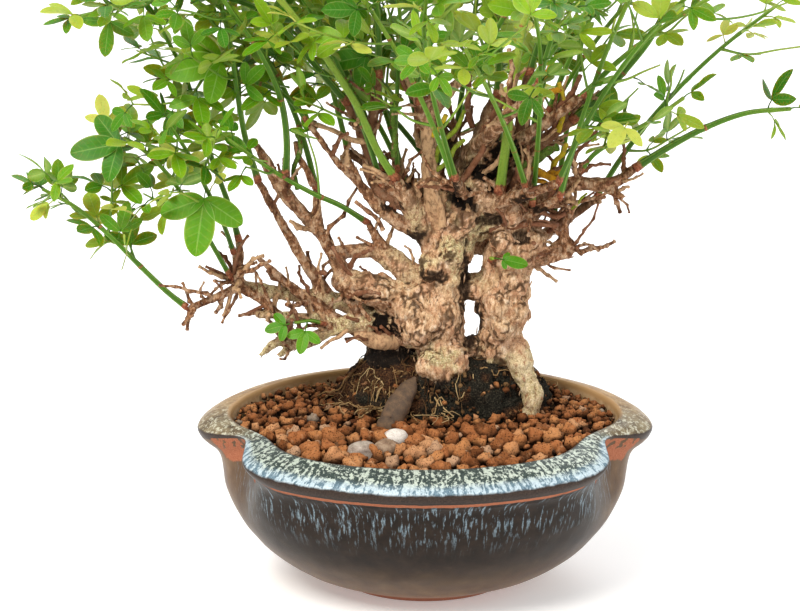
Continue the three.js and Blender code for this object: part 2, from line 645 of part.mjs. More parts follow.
// The way that a leaf's face looks: up and out, or to the front for the large leaves.
function leafNormal(way, toFront) {
  const wish = toFront ? new THREE.Vector3(0, -0.8, 0.6) : new THREE.Vector3(0, -0.25, 0.97);
  return wish.addScaledVector(way, -wish.dot(way)).normalize();
}

// The outline of one leaf of three leaflets, from its root along X. Large leaves have rounder leaflets.
function leafOutline(size, round) {
  const profile = round
    ? [[0.24, 0.24], [0.52, 0.5], [0.84, 0.32], [1, 0]]
    : [[0.5, 0.5], [1, 0]];
  const half = LEAF_THICKNESS;
  const outline = [new THREE.Vector2(0, -half)];
  const leaflets = [
    { turn: -SIDE_SPREAD, length: size * SIDE_LEAFLET },
    { turn: 0, length: size },
    { turn: SIDE_SPREAD, length: size * SIDE_LEAFLET },
  ];
  leaflets.forEach(({ turn, length }, i) => {
    const there = profile.map(([along, wide]) => [along, -wide]);
    const back = profile.slice(0, -1).reverse();
    for (const [along, wide] of [...there, ...back]) {
      const point = new THREE.Vector2(along * length, wide * LEAFLET_WIDTH * length);
      outline.push(point.rotateAround(new THREE.Vector2(), turn).add(new THREE.Vector2(PETIOLE, 0)));
    }
    const join = new THREE.Vector2(LEAFLET_JOIN, 0).rotateAround(new THREE.Vector2(), turn + SIDE_SPREAD / 2);
    if (i < leaflets.length - 1) outline.push(join.add(new THREE.Vector2(PETIOLE, 0)));
  });
  outline.push(new THREE.Vector2(0, half));
  return outline;
}

// Adds one leaf to a skin as a thin arched blade, cut to the junction between its three leaflets and open
// at the root, where it is sewn to the loop of four corners that its stalk grows from.
function sewLeaf(skin, leaf, loop) {
  const outline = leafOutline(leaf.size, leaf.round);
  const side = leaf.normal.clone().cross(leaf.way);
  const placed = (point, lift) => {
    const past = Math.max(0, point.x - PETIOLE) / leaf.size;
    const drop = leaf.size * (0.16 * past * past + 0.1 * (point.y / leaf.size) ** 2);
    return leaf.root
      .clone()
      .addScaledVector(leaf.way, point.x)
      .addScaledVector(side, point.y)
      .addScaledVector(leaf.normal, lift - drop);
  };
  const last = outline.length - 1;
  const corners = [
    placed(outline[last], LEAF_THICKNESS / 2),
    placed(outline[0], LEAF_THICKNESS / 2),
    placed(outline[0], -LEAF_THICKNESS / 2),
    placed(outline[last], -LEAF_THICKNESS / 2),
  ];
  const twist = (shift) =>
    corners.reduce((sum, corner, i) => sum + corner.distanceTo(skin.points[loop[(i + shift) % 4]]), 0);
  const shift = [0, 1, 2, 3].sort((m, n) => twist(m) - twist(n))[0];
  const [upperLast, upperFirst, lowerFirst, lowerLast] = [0, 1, 2, 3].map((i) => loop[(i + shift) % 4]);
  const between = outline.slice(1, last);
  const skinned = (lift) => between.map((point) => skin.add(placed(point, lift)));
  const upper = [upperFirst, ...skinned(LEAF_THICKNESS / 2), upperLast];
  const lower = [lowerFirst, ...skinned(-LEAF_THICKNESS / 2), lowerLast];
  for (const [i, j, k] of THREE.ShapeUtils.triangulateShape(outline, [])) {
    skin.faces.push(upper[i], upper[j], upper[k], lower[i], lower[k], lower[j]);
  }
  for (let i = 0; i < last; i += 1) {
    skin.faces.push(lower[i], lower[i + 1], upper[i + 1], lower[i], upper[i + 1], upper[i]);
  }
}

// Share of a leaflet's length, and radius as a share of it, of the balls that stand for a leaflet
const LEAFLET_BALLS = [[0.22, 0.13], [0.5, 0.24], [0.82, 0.17]];

// Balls that stand for a leaf when pieces are kept apart.
function leafBalls(leaf) {
  const side = leaf.normal.clone().cross(leaf.way);
  const balls = [];
  for (const [turn, share] of [[-SIDE_SPREAD, SIDE_LEAFLET], [0, 1], [SIDE_SPREAD, SIDE_LEAFLET]]) {
    for (const [along, radius] of LEAFLET_BALLS) {
      const centre = leaf.root
        .clone()
        .addScaledVector(leaf.way, PETIOLE + along * share * leaf.size * Math.cos(turn))
        .addScaledVector(side, along * share * leaf.size * Math.sin(turn))
        .addScaledVector(leaf.normal, -0.1 * leaf.size * along * along);
      balls.push({ centre, radius: radius * share * leaf.size });
    }
  }
  return balls;
}

// A leaf on one face of a shoot's stem, or on its tip where the span is past the last.
function leafOn(shoot, rings, span, face, share, wish, size, round = false) {
  const isTip = span === rings.length - 1;
  const foot = isTip ? null : stemFace(rings, span, face, share);
  const along = shoot.points[Math.min(span + 1, rings.length - 1)].clone();
  along.sub(shoot.points[Math.min(span, rings.length - 2)]).normalize();
  const root = isTip ? shoot.points[span].clone() : foot.middle;
  const way = wish ?? (isTip ? along : foot.outward.clone().addScaledVector(along, STALK_LEAN).normalize());
  const leaf = { span, face, share, root, way, normal: leafNormal(way, round), size, round };
  return { ...leaf, balls: leafBalls(leaf) };
}

// The large leaves of one shoot, on the face that looks their way.
function largeLeavesOf(name, shoot) {
  const rings = stemRings(shoot);
  return (LARGE_LEAVES[name] ?? []).map(([span, share, way, size]) => {
    const wish = new THREE.Vector3(...way).normalize();
    const onTip = span === rings.length - 1;
    const towards = (face) => (onTip ? 0 : stemFace(rings, span, face, share).outward.dot(wish));
    const face = [0, 1, 2, 3].sort((a, b) => towards(b) - towards(a))[0];
    return leafOn(shoot, rings, span, face, share, wish, size, true);
  });
}

// The leaves of one shoot in opposite pairs, crosswise from span to span, with one on the tip. A leaf that
// would touch something is made smaller, and dropped if it still does.
function smallLeavesOf(shoot, index, taken) {
  const rings = stemRings(shoot);
  const leaves = [];
  const spans = rings.length - 1;
  for (let n = 0; n < LEAVES_PER_SHOOT; n += 1) {
    const next = stream(5000 + 61 * index + n);
    const span = n === 0 ? spans : Math.max(1, spans - 1 - Math.floor((n - 1) / 2));
    const face = (2 * ((n - 1) % 2) + span + index) % STEM_SIDES;
    const size = LEAF_SMALL + (LEAF_LARGE - LEAF_SMALL) * next();
    const own = [...shoot.leaves, ...leaves];
    if (own.some((leaf) => leaf.span === span && leaf.face === face)) continue;
    const near = [...taken, ...own.flatMap((leaf) => leaf.balls)];
    const leafAt = ([share, part]) => leafOn(shoot, rings, span, face, share, null, size * part);
    const fitting = LEAF_TRIES.map(leafAt).find((leaf) => isClear(leaf.balls, near, LEAF_GAP));
    if (fitting) leaves.push(fitting);
  }
  return leaves;
}

// The whole plant as plain data: limbs of wood, and shoots with their leaves.
function plantPlan() {
  const limbs = [...TRUNK_ROWS, ...LIMB_ROWS].map(([sides, rows]) => ({
    points: rows.map(([across, depth, up]) => seen(across, depth, up)),
    radii: rows.map((row) => row[3]),
    sides,
  }));
  const shoots = {};
  for (const [name, [rootRadius, tipRadius, rows]] of Object.entries(SHOOT_ROWS)) {
    const points = rows.map(([across, depth, up]) => seen(across, depth, up));
    shoots[name] = { points, rootRadius, tipRadius, isShort: rows.length < 4 };
  }
  const roots = [];
  for (let i = 0; i < RULED_LIMBS; i += 1) {
    const limb = ruledLimb(i);
    const fork = limb.points[1].clone().lerp(limb.points[2], FORK_SHARE);
    const sideways = limb.bearing + (i % 2 ? SPUR_TURN : -SPUR_TURN);
    const spur = fork.clone().add(new THREE.Vector3(4 * Math.cos(sideways), 4 * Math.sin(sideways), 5));
    limbs.push(limb, { points: [fork, spur], radii: [2.4, RULED_RADII[0]], sides: 4 });
    roots.push([limb.points[2], limb.bearing, (i * GOLDEN + 0.2) % 1]);
    roots.push([spur, sideways, (i * GOLDEN + 0.65) % 1]);
  }
  const woodBalls = limbs.flatMap(({ points, radii }) =>
    points.slice(1).flatMap((point, i) => ballsAlong([points[i], point], radii[i], radii[i + 1])),
  );
  const stems = Object.values(shoots).flatMap((s) => ballsAlong(s.points, s.rootRadius, s.tipRadius));
  roots.forEach(([root, bearing, steep], n) => {
    for (let attempt = 0; attempt < TRIES; attempt += 1) {
      const next = stream(SHOOT_SEED + 50 * n + attempt);
      const heading = bearing + (0.7 + 0.05 * attempt) * (next() - 0.5);
      const points = ruledShoot(root, heading, (steep + 0.3 * attempt * GOLDEN) % 1, next);
      const balls = ballsAlong(points, ...RULED_RADII);
      const free = balls.filter((ball) => ball.centre.distanceTo(root) > ROOT_REACH);
      if (!isClear(free, woodBalls, LEAF_GAP) || !isClear(balls, stems, STEM_GAP)) continue;
      const name = "shoot_" + String(n + 1).padStart(2, "0");
      const [rootRadius, tipRadius] = RULED_RADII;
      shoots[name] = { points, rootRadius, tipRadius, isShort: false };
      stems.push(...balls);
      break;
    }
  });
  const taken = [...woodBalls];
  const stemBalls = Object.fromEntries(
    Object.entries(shoots).map(([name, s]) => [name, ballsAlong(s.points, s.rootRadius, s.tipRadius)]),
  );
  for (const [name, shoot] of Object.entries(shoots)) {
    const spur = limbs.find((limb) => limb.points[limb.points.length - 1].distanceTo(shoot.points[0]) < 0.01);
    const [before, end] = spur.points.slice(-2);
    shoot.rootWay = end.clone().sub(before).normalize();
    shoot.leaves = largeLeavesOf(name, shoot);
    taken.push(...shoot.leaves.flatMap((leaf) => leaf.balls));
  }
  Object.entries(shoots).forEach(([name, shoot], index) => {
    if (shoot.isShort) return;
    const others = Object.entries(stemBalls).flatMap(([other, balls]) => (other === name ? [] : balls));
    const leaves = smallLeavesOf(shoot, index, [...taken, ...others]);
    shoot.leaves.push(...leaves);
    taken.push(...leaves.flatMap((leaf) => leaf.balls));
  });
  return { limbs, shoots };
}

function wood(limbs) {
  return joined(
    limbs.map(({ points, radii, sides }, i) => {
      const knobs = i < TRUNK_ROWS.length ? TRUNK_KNOBS : LIMB_KNOBS;
      return stem(points, radii, sides, { knobs, seed: BARK_SEED + i });
    }),
  );
}

// The four corners of a stem's ring.
function stemRings(shoot) {
  const last = shoot.points.length - 1;
  return framesAlong(shoot.points, shoot.rootWay).map((frame, i) => {
    const radius = shoot.rootRadius + ((shoot.tipRadius - shoot.rootRadius) * i) / last;
    return Array.from({ length: STEM_SIDES }, (_, k) => {
      const turn = ((k + 0.5) / STEM_SIDES) * 2 * Math.PI;
      return shoot.points[i]
        .clone()
        .addScaledVector(frame.across, radius * Math.cos(turn))
        .addScaledVector(frame.over, radius * Math.sin(turn));
    });
  });
}

// The middle, outward way and size of the stalk's foot on one face of a stem, at a share of one span.
function stemFace(rings, span, face, share) {
  const next = (face + 1) % STEM_SIDES;
  const left = rings[span][face].clone().lerp(rings[span + 1][face], share);
  const right = rings[span][next].clone().lerp(rings[span + 1][next], share);
  const across = right.clone().sub(left);
  const up = rings[span + 1][face].clone().sub(rings[span][face]).normalize();
  return {
    middle: left.clone().add(right).multiplyScalar(0.5),
    outward: across.clone().cross(up).normalize(),
    across: across.multiplyScalar(0.36),
    up: up.multiplyScalar(LEAF_THICKNESS / 2),
  };
}

// A leafy shoot as one sewn skin: a square stem whose faces open into the stalks of its leaves.
function shootSolid(shoot) {
  const rings = stemRings(shoot);
  rings[0].forEach((corner) => corner.addScaledVector(shoot.rootWay, SHOOT_GAP));
  const skin = {
    points: rings.flat(),
    faces: [0, 2, 1, 0, 3, 2],
    add(point) {
      return this.points.push(point) - 1;
    },
  };
  for (let span = 0; span < rings.length - 1; span += 1) {
    for (let face = 0; face < STEM_SIDES; face += 1) {
      const next = (face + 1) % STEM_SIDES;
      const a = span * STEM_SIDES;
      const outer = [a + face, a + next, a + STEM_SIDES + next, a + STEM_SIDES + face];
      const leaf = shoot.leaves.find((one) => one.span === span && one.face === face);
      if (!leaf) {
        skin.faces.push(outer[0], outer[1], outer[2], outer[0], outer[2], outer[3]);
        continue;
      }
      const { middle, across, up } = stemFace(rings, span, face, leaf.share);
      const signs = [[-1, -1], [1, -1], [1, 1], [-1, 1]];
      const loop = signs.map(([m, n]) =>
        skin.add(middle.clone().addScaledVector(across, m).addScaledVector(up, n)),
      );
      for (let i = 0; i < 4; i += 1) {
        const j = (i + 1) % 4;
        skin.faces.push(outer[i], outer[j], loop[j], outer[i], loop[j], loop[i]);
      }
      sewLeaf(skin, leaf, loop);
    }
  }
  const tip = (rings.length - 1) * STEM_SIDES;
  const last = shoot.leaves.find((one) => one.span === rings.length - 1);
  if (last) sewLeaf(skin, last, [tip, tip + 1, tip + 2, tip + 3]);
  else skin.faces.push(tip, tip + 1, tip + 2, tip, tip + 2, tip + 3);
  const geometry = new THREE.BufferGeometry();
  const positions = skin.points.flatMap((point) => point.toArray());
  geometry.setAttribute("position", new THREE.Float32BufferAttribute(positions, 3));
  geometry.setIndex(skin.faces);
  return solidOf(geometry);
}

function meshOf(name, solid, finish) {
  const { vertProperties, triVerts, numProp } = mainBody(solid).getMesh();
  const positions = [];
  for (let i = 0; i < vertProperties.length; i += numProp) {
    positions.push(vertProperties[i], vertProperties[i + 1], vertProperties[i + 2]);
  }
  const geometry = new THREE.BufferGeometry();
  geometry.setAttribute("position", new THREE.Float32BufferAttribute(positions, 3));
  geometry.setIndex([...triVerts]);
  geometry.computeVertexNormals();
  const mesh = new THREE.Mesh(geometry, FINISHES[finish].clone());
  mesh.name = name;
  return mesh;
}

function bonsai() {
  const group = new THREE.Group();
  const { limbs, shoots } = plantPlan();
  group.add(meshOf("pot", pot(), "glaze"));

  const stones = Object.entries(STONES);
  const slabHole = rowStem(SLAB_ROWS, SLAB_SIDES, { grow: CLEARANCE });
  const rootHole = rowStem(LOOSE_ROOT_ROWS, LOOSE_ROOT_SIDES, { grow: CLEARANCE });
  let soil = granuleBlock().intersect(potFill(2 * POT_HEIGHT));
  soil = soil.subtract(rootBallBody(CLEARANCE)).subtract(slabHole).subtract(rootHole);
  for (const [, { place, size, seed }] of stones) {
    soil = soil.subtract(stone(place, size, seed, CLEARANCE));
  }

  const trunks = TRUNK_ROWS.map(([sides, rows], i) =>
    rowStem(rows, sides, { knobs: TRUNK_KNOBS, seed: BARK_SEED + i, grow: CLEARANCE }),
  );
  const trunkHoles = joined(trunks);
  const ball = rootBallBody(0).subtract(trunkHoles).subtract(slabHole);
  soil = soil.subtract(trunkHoles);

  group.add(meshOf("soil", soil, "soil"));
  group.add(meshOf("root_ball", ball, "peat"));
  for (const [name, { place, size, seed, finish }] of stones) {
    group.add(meshOf(name, stone(place, size, seed), finish));
  }
  group.add(meshOf("slab", rowStem(SLAB_ROWS, SLAB_SIDES), "darkStone"));
  group.add(meshOf("loose_root", rowStem(LOOSE_ROOT_ROWS, LOOSE_ROOT_SIDES), "paleRoot"));
  group.add(meshOf("wood", wood(limbs), "bark"));
  for (const [name, shoot] of Object.entries(shoots)) {
    group.add(meshOf(name, shootSolid(shoot), "leaf"));
  }
  return group;
}

export default bonsai();
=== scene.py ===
"""Looks of a winter jasmine bonsai in its oval pot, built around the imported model.

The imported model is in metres, +Z up, with the origin in the middle of the pot's foot and the front at -Y.
Shapes are worked out here in millimetres in that same frame, and turned into metres when a piece is made.
"""

import logging
import math
import sys
from dataclasses import dataclass, field
from enum import Enum
from typing import Any, Iterable, Mapping, Sequence

import bmesh
import bpy
import numpy as np
from mathutils import Matrix, noise


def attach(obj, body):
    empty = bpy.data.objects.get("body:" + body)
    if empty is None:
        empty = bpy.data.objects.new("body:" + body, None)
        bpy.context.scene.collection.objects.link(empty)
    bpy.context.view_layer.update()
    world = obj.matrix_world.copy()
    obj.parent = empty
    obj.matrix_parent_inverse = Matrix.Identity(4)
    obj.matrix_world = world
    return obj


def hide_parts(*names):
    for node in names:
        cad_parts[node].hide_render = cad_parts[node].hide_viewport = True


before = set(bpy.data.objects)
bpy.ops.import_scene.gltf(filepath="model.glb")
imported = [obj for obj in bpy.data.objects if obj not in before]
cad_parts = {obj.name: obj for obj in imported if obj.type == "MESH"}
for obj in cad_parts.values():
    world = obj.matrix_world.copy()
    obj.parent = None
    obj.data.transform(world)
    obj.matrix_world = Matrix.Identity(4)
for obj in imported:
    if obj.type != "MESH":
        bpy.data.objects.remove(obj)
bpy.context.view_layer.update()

Array = np.ndarray
Chance = np.random.Generator
Piece = bpy.types.Object

LOG = logging.getLogger("bonsai")
MM = 0.001
BODY = "root"
MASK = 0xFFFFFFFF

# Where the eye stands, in millimetres, and how steeply it looks down
EYE = np.array([-12.0, -1429.0, 594.6])
ELEVATION = math.radians(17.7)


# Numbers, vectors and runs of points


class Dice:
    """A seeded run of numbers from 0 to 1, the same one that the solids were made with."""

    def __init__(self, seed: int) -> None:
        """Starts the run at a seed."""
        self.state = seed & MASK

    def draw(self) -> float:
        """The next number from 0 to 1."""
        self.state = (self.state + 0x6D2B79F5) & MASK
        t = self.state
        t = ((t ^ (t >> 15)) * (t | 1)) & MASK
        t ^= (t + (((t ^ (t >> 7)) * (t | 61)) & MASK)) & MASK
        return ((t ^ (t >> 14)) & MASK) / 4294967296

    def within(self, low: float, high: float) -> float:
        """The next number, spread from low to high."""
        return low + (high - low) * self.draw()


def unit(vector: Array) -> Array:
    """The vector at length one."""
    return vector / max(float(np.linalg.norm(vector)), 1e-9)


def seen(across: float, depth: float, up: float) -> Array:
    """The real place of a point that the front view shows at (across, up), at the given depth."""
    share = depth / -EYE[1]
    return np.array([across + (across - EYE[0]) * share, depth, up + (up - EYE[2]) * share])


def front_view(points: Array) -> tuple[Any, Any]:
    """Across and up of one point, or of a row of them, as the front view shows them."""
    x, y, z = np.moveaxis(points, -1, 0)
    share = y / -EYE[1]
    return (x + EYE[0] * share) / (1 + share), (z + EYE[2] * share) / (1 + share)


def ramp_up(values: Array, low: float, high: float) -> Array:
    """Values carried to 0 below low and 1 above high, smoothly between."""
    t = np.clip((values - low) / (high - low), 0, 1)
    return t * t * (3 - 2 * t)


def smooth_run(rows: Array, step: float, measure: int = 3) -> tuple[Array, Array]:
    """Carries rows over to short even steps along a smooth curve through them.

    Args:
        rows: one row a point, its place first.
        step: the longest step.
        measure: the columns of the place.

    Returns:
        The denser rows, and for each the number of its span plus its share of it.
    """
    gaps = np.maximum(np.linalg.norm(np.diff(rows[:, :measure], axis=0), axis=1), 1e-6)
    slopes = np.diff(rows, axis=0) / gaps[:, None]
    tangents = np.empty_like(rows)
    tangents[0] = slopes[0]
    tangents[-1] = slopes[-1]
    before, after = gaps[:-1, None], gaps[1:, None]
    tangents[1:-1] = (slopes[:-1] * after + slopes[1:] * before) / (before + after)
    dense: list[Array] = []
    spans: list[Array] = []
    for i, gap in enumerate(gaps):
        t = np.arange(max(1, math.ceil(gap / step))) / max(1, math.ceil(gap / step))
        t2, t3 = t * t, t * t * t
        dense.append(np.outer(2 * t3 - 3 * t2 + 1, rows[i]) + np.outer(t3 - 2 * t2 + t, tangents[i] * gap)
            + np.outer(3 * t2 - 2 * t3, rows[i + 1]) + np.outer(t3 - t2, tangents[i + 1] * gap))
        spans.append(i + t)
    dense.append(rows[-1:])
    spans.append(np.array([len(gaps)], float))
    return np.concatenate(dense), np.concatenate(spans)


def frames_along(points: Array, root_way: Array | None = None) -> tuple[Array, Array, Array]:
    """Frames that follow a run of points without twisting.

    Args:
        points: the run.
        root_way: the way along at its first point.

    Returns:
        The way along and the two ways across it, at each point.
    """
    last = len(points) - 1
    across = np.array([0.0, -1.0, 0.0])
    alongs, acrosses = [], []
    for i in range(last + 1):
        along = unit(points[min(i + 1, last)] - points[max(i - 1, 0)])
        if i == 0 and root_way is not None:
            along = root_way
        across = across - along * (across @ along)
        if across @ across < 1e-3:
            across = np.array([1.0, 0.0, 0.0]) - along * along[0]
        across = unit(across)
        alongs.append(along)
        acrosses.append(across)
    return np.array(alongs), np.array(acrosses), np.cross(alongs, acrosses)


def walked(points: Array) -> Array:
    """How far along a run each of its points lies."""
    return np.concatenate([[0], np.cumsum(np.linalg.norm(np.diff(points, axis=0), axis=1))])


def turns_round(sides: int, start: float = 0.5) -> Array:
    """Even angles round a ring, the first a share of a step from zero."""
    return (np.arange(sides) + start) / sides * 2 * math.pi


def rings_round(points: Array, root_way: Array | None, radii: Array, sides: int) -> Array:
    """Rings of points round a run.

    Args:
        points: the run.
        root_way: the way along at its first point.
        radii: a radius for each ring, or for each of its points.
        sides: the points of a ring.

    Returns:
        The points of each ring.
    """
    _, across, over = frames_along(points, root_way)
    turns = turns_round(sides)
    spokes = across[:, None] * np.cos(turns)[None, :, None] + over[:, None] * np.sin(turns)[None, :, None]
    return points[:, None] + spokes * radii[:, :, None]


def placed(rows: Iterable[Sequence[float]]) -> Array:
    """Rows of across, depth, up and one more number, carried to their real places."""
    return np.array([[*seen(*row[:3]), row[3]] for row in rows])


def noise_at(points: Array, size: float, octaves: int = 1) -> Array:
    """Smooth noise from about -1 to 1 at each point.

    Args:
        points: the places.
        size: the width of a swell.
        octaves: the number of finer layers.

    Returns:
        A value for each.
    """
    places = (points / size).tolist()
    return np.array([noise.fractal(place, 1.0, 2.0, octaves) for place in places])


def seam_at(points: Array, size: float) -> Array:
    """How far each point lies from the seam between scattered plates, as a share of their size."""
    gaps = np.array([noise.voronoi(place)[0][:2] for place in (points / size).tolist()])
    return gaps[:, 1] - gaps[:, 0]


class Skin:
    """The faces of one piece while it is built, in millimetres, with named values at its points."""

    def __init__(self, *names: str) -> None:
        """Starts an empty skin whose points carry the named values."""
        self.names = names
        self.points: list[Array] = []
        self.faces: list[list[int]] = []
        self.values: dict[str, list[Array]] = {name: [] for name in names}
        self.sharp: list[Array] = []
        self.count = 0

    def add(self, points: Array, faces: Array | Sequence[Sequence[int]], sharp: Array | None = None,
            **values: Any) -> None:
        """Adds one closed body.

        Args:
            points: its points.
            faces: corner numbers of its faces, from its own first point.
            sharp: which points lie on a sharp edge.
            **values: a number for each named value, or one a point; others are 0.
        """
        points = np.asarray(points, float)
        self.points.append(points)
        for part in [faces] if isinstance(faces, Array) else faces:
            self.faces.extend((np.asarray(part) + self.count).tolist())
        for name in self.names:
            self.values[name].append(np.broadcast_to(np.asarray(values.get(name, 0.0), float), len(points)))
        self.sharp.append(np.zeros(len(points), bool) if sharp is None else sharp)
        self.count += len(points)

    def tube(self, points: Array, radii: Array, sides: int, profile: Array | None = None,
            root_way: Array | None = None, blunt: float = 0.0, **values: Any) -> None:
        """Adds a closed round stem through points.

        Args:
            points: its middle line.
            radii: its radius at each point.
            sides: the sides of its rings.
            profile: share of the radius at each side.
            root_way: the way along at its first point.
            blunt: how far its tip is rounded, as a share of its last radius.
            **values: as for add, but an array gives one number a ring.
        """
        if blunt > 0:
            way = unit(points[-1] - points[-2]) * radii[-1] * blunt
            points = np.vstack([points, points[-1] + 0.55 * way, points[-1] + 0.9 * way])
            radii = np.concatenate([radii, radii[-1] * np.array([0.82, 0.42])])
        shape = np.ones(sides) if profile is None else profile
        rings = rings_round(points, root_way, radii[:, None] * shape[None], sides)
        count = len(points)
        spread = {}
        for name, value in values.items():
            array = np.asarray(value, float)
            if array.ndim:
                array = array.reshape(len(array), -1)
                array = np.vstack([array, np.repeat(array[-1:], count - len(array), axis=0)])
            array = np.broadcast_to(array, (count, sides))
            spread[name] = np.concatenate([array.ravel(), [array[0].mean(), array[-1].mean()]])
        verts = np.vstack([rings.reshape(-1, 3), points[0], points[-1]])
        self.add(verts, closed_rings(count, sides), **spread)

    def bare(self, name: str) -> Piece:
        """Makes the undressed object in metres."""
        mesh = bpy.data.meshes.new(name)
        mesh.from_pydata((np.vstack(self.points) * MM).tolist(), [], self.faces)
        made = bpy.data.objects.new(name, mesh)
        bpy.context.collection.objects.link(made)
        return made

    def piece(self, name: str, finish: "Finish", node: str = "") -> Piece:
        """Makes the piece, dressed in its finish and riding on the object's one body.

        Args:
            name: the piece's name.
            finish: what it is dressed in.
            node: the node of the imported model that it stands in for.

        Returns:
            The piece.
        """
        piece = self.bare(name)
        mesh = piece.data
        for value in self.names:
            layer = mesh.attributes.new(value, "FLOAT", "POINT")
            layer.data.foreach_set("value", np.concatenate(self.values[value]).astype(np.float32))
        mesh.shade_smooth()
        sharp = np.concatenate(self.sharp)
        if sharp.any():
            ends = np.empty(2 * len(mesh.edges), np.int32)
            mesh.edges.foreach_get("vertices", ends)
            layer = mesh.attributes.new("sharp_edge", "BOOLEAN", "EDGE")
            layer.data.foreach_set("value", sharp[ends.reshape(-1, 2)].all(axis=1))
        finish.dress(piece)
        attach(piece, BODY)
        if node:
            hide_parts(node)
        return piece


def closed_rings(rings: int, sides: int) -> list[Array]:
    """Corner numbers of the faces of a closed body made of rings.

    Args:
        rings: the number of rings.
        sides: the points of each.

    Returns:
        The faces between the rings, and the fans that close the first and the last; their middle points
        follow the rings.
    """
    k = np.arange(sides)
    n = (k + 1) % sides
    base = (np.arange(rings - 1) * sides)[:, None]
    walls = np.stack([base + k, base + n, base + n + sides, base + k + sides], axis=-1).reshape(-1, 4)
    top = (rings - 1) * sides
    low = np.stack([np.full(sides, rings * sides), n, k], 1)
    high = np.stack([k + top, n + top, np.full(sides, rings * sides + 1)], 1)
    return [walls, low, high]


# Paint: node materials written as sums


class Value:
    """A number that varies over a surface. Sums of such values add Math nodes."""

    def __init__(self, paint: "Paint", link: bpy.types.NodeSocket) -> None:
        """Wraps one output socket of a paint's nodes."""
        self.paint = paint
        self.link = link

    def maths(self, operation: str, *terms: "Value | float") -> "Value":
        """One Math node on the given terms."""
        node = self.paint.node("ShaderNodeMath", {"operation": operation}, dict(enumerate(terms)))
        return Value(self.paint, node.outputs[0])

    def __add__(self, other: "Value | float") -> "Value":
        """Sum with a value or a number."""
        return self.maths("ADD", self, other)

    def __sub__(self, other: "Value | float") -> "Value":
        """Difference from a value or a number."""
        return self.maths("SUBTRACT", self, other)

    def __rsub__(self, other: float) -> "Value":
        """A number less this value."""
        return self.maths("SUBTRACT", other, self)

    def __mul__(self, other: "Value | float") -> "Value":
        """Product with a value or a number."""
        return self.maths("MULTIPLY", self, other)

    __radd__ = __add__
    __rmul__ = __mul__

    def __abs__(self) -> "Value":
        """The value without its sign."""
        return self.maths("ABSOLUTE", self)

    def wave(self) -> "Value":
        """The sine of the value, from 0 to 1."""
        return self.maths("SINE", self) * 0.5 + 0.5

    def between(self, low: float, high: float) -> "Value":
        """The value carried to 0 at low and 1 at high, smoothly, for either order of the two."""
        settings, sockets = {"interpolation_type": "SMOOTHSTEP"}, {"Value": self, "From Min": low,
            "From Max": high}
        node = self.paint.node("ShaderNodeMapRange", settings, sockets)
        return Value(self.paint, node.outputs[0])


class Tint(Value):
    """A colour that varies over a surface."""


def colour(code: str) -> tuple[float, float, float, float]:
    """The linear red, green, blue and alpha of a colour written as six hexadecimal digits."""
    parts = [int(code[i : i + 2], 16) / 255 for i in (0, 2, 4)]
    linear = [p / 12.92 if p <= 0.04045 else ((p + 0.055) / 1.055) ** 2.4 for p in parts]
    return (*linear, 1.0)


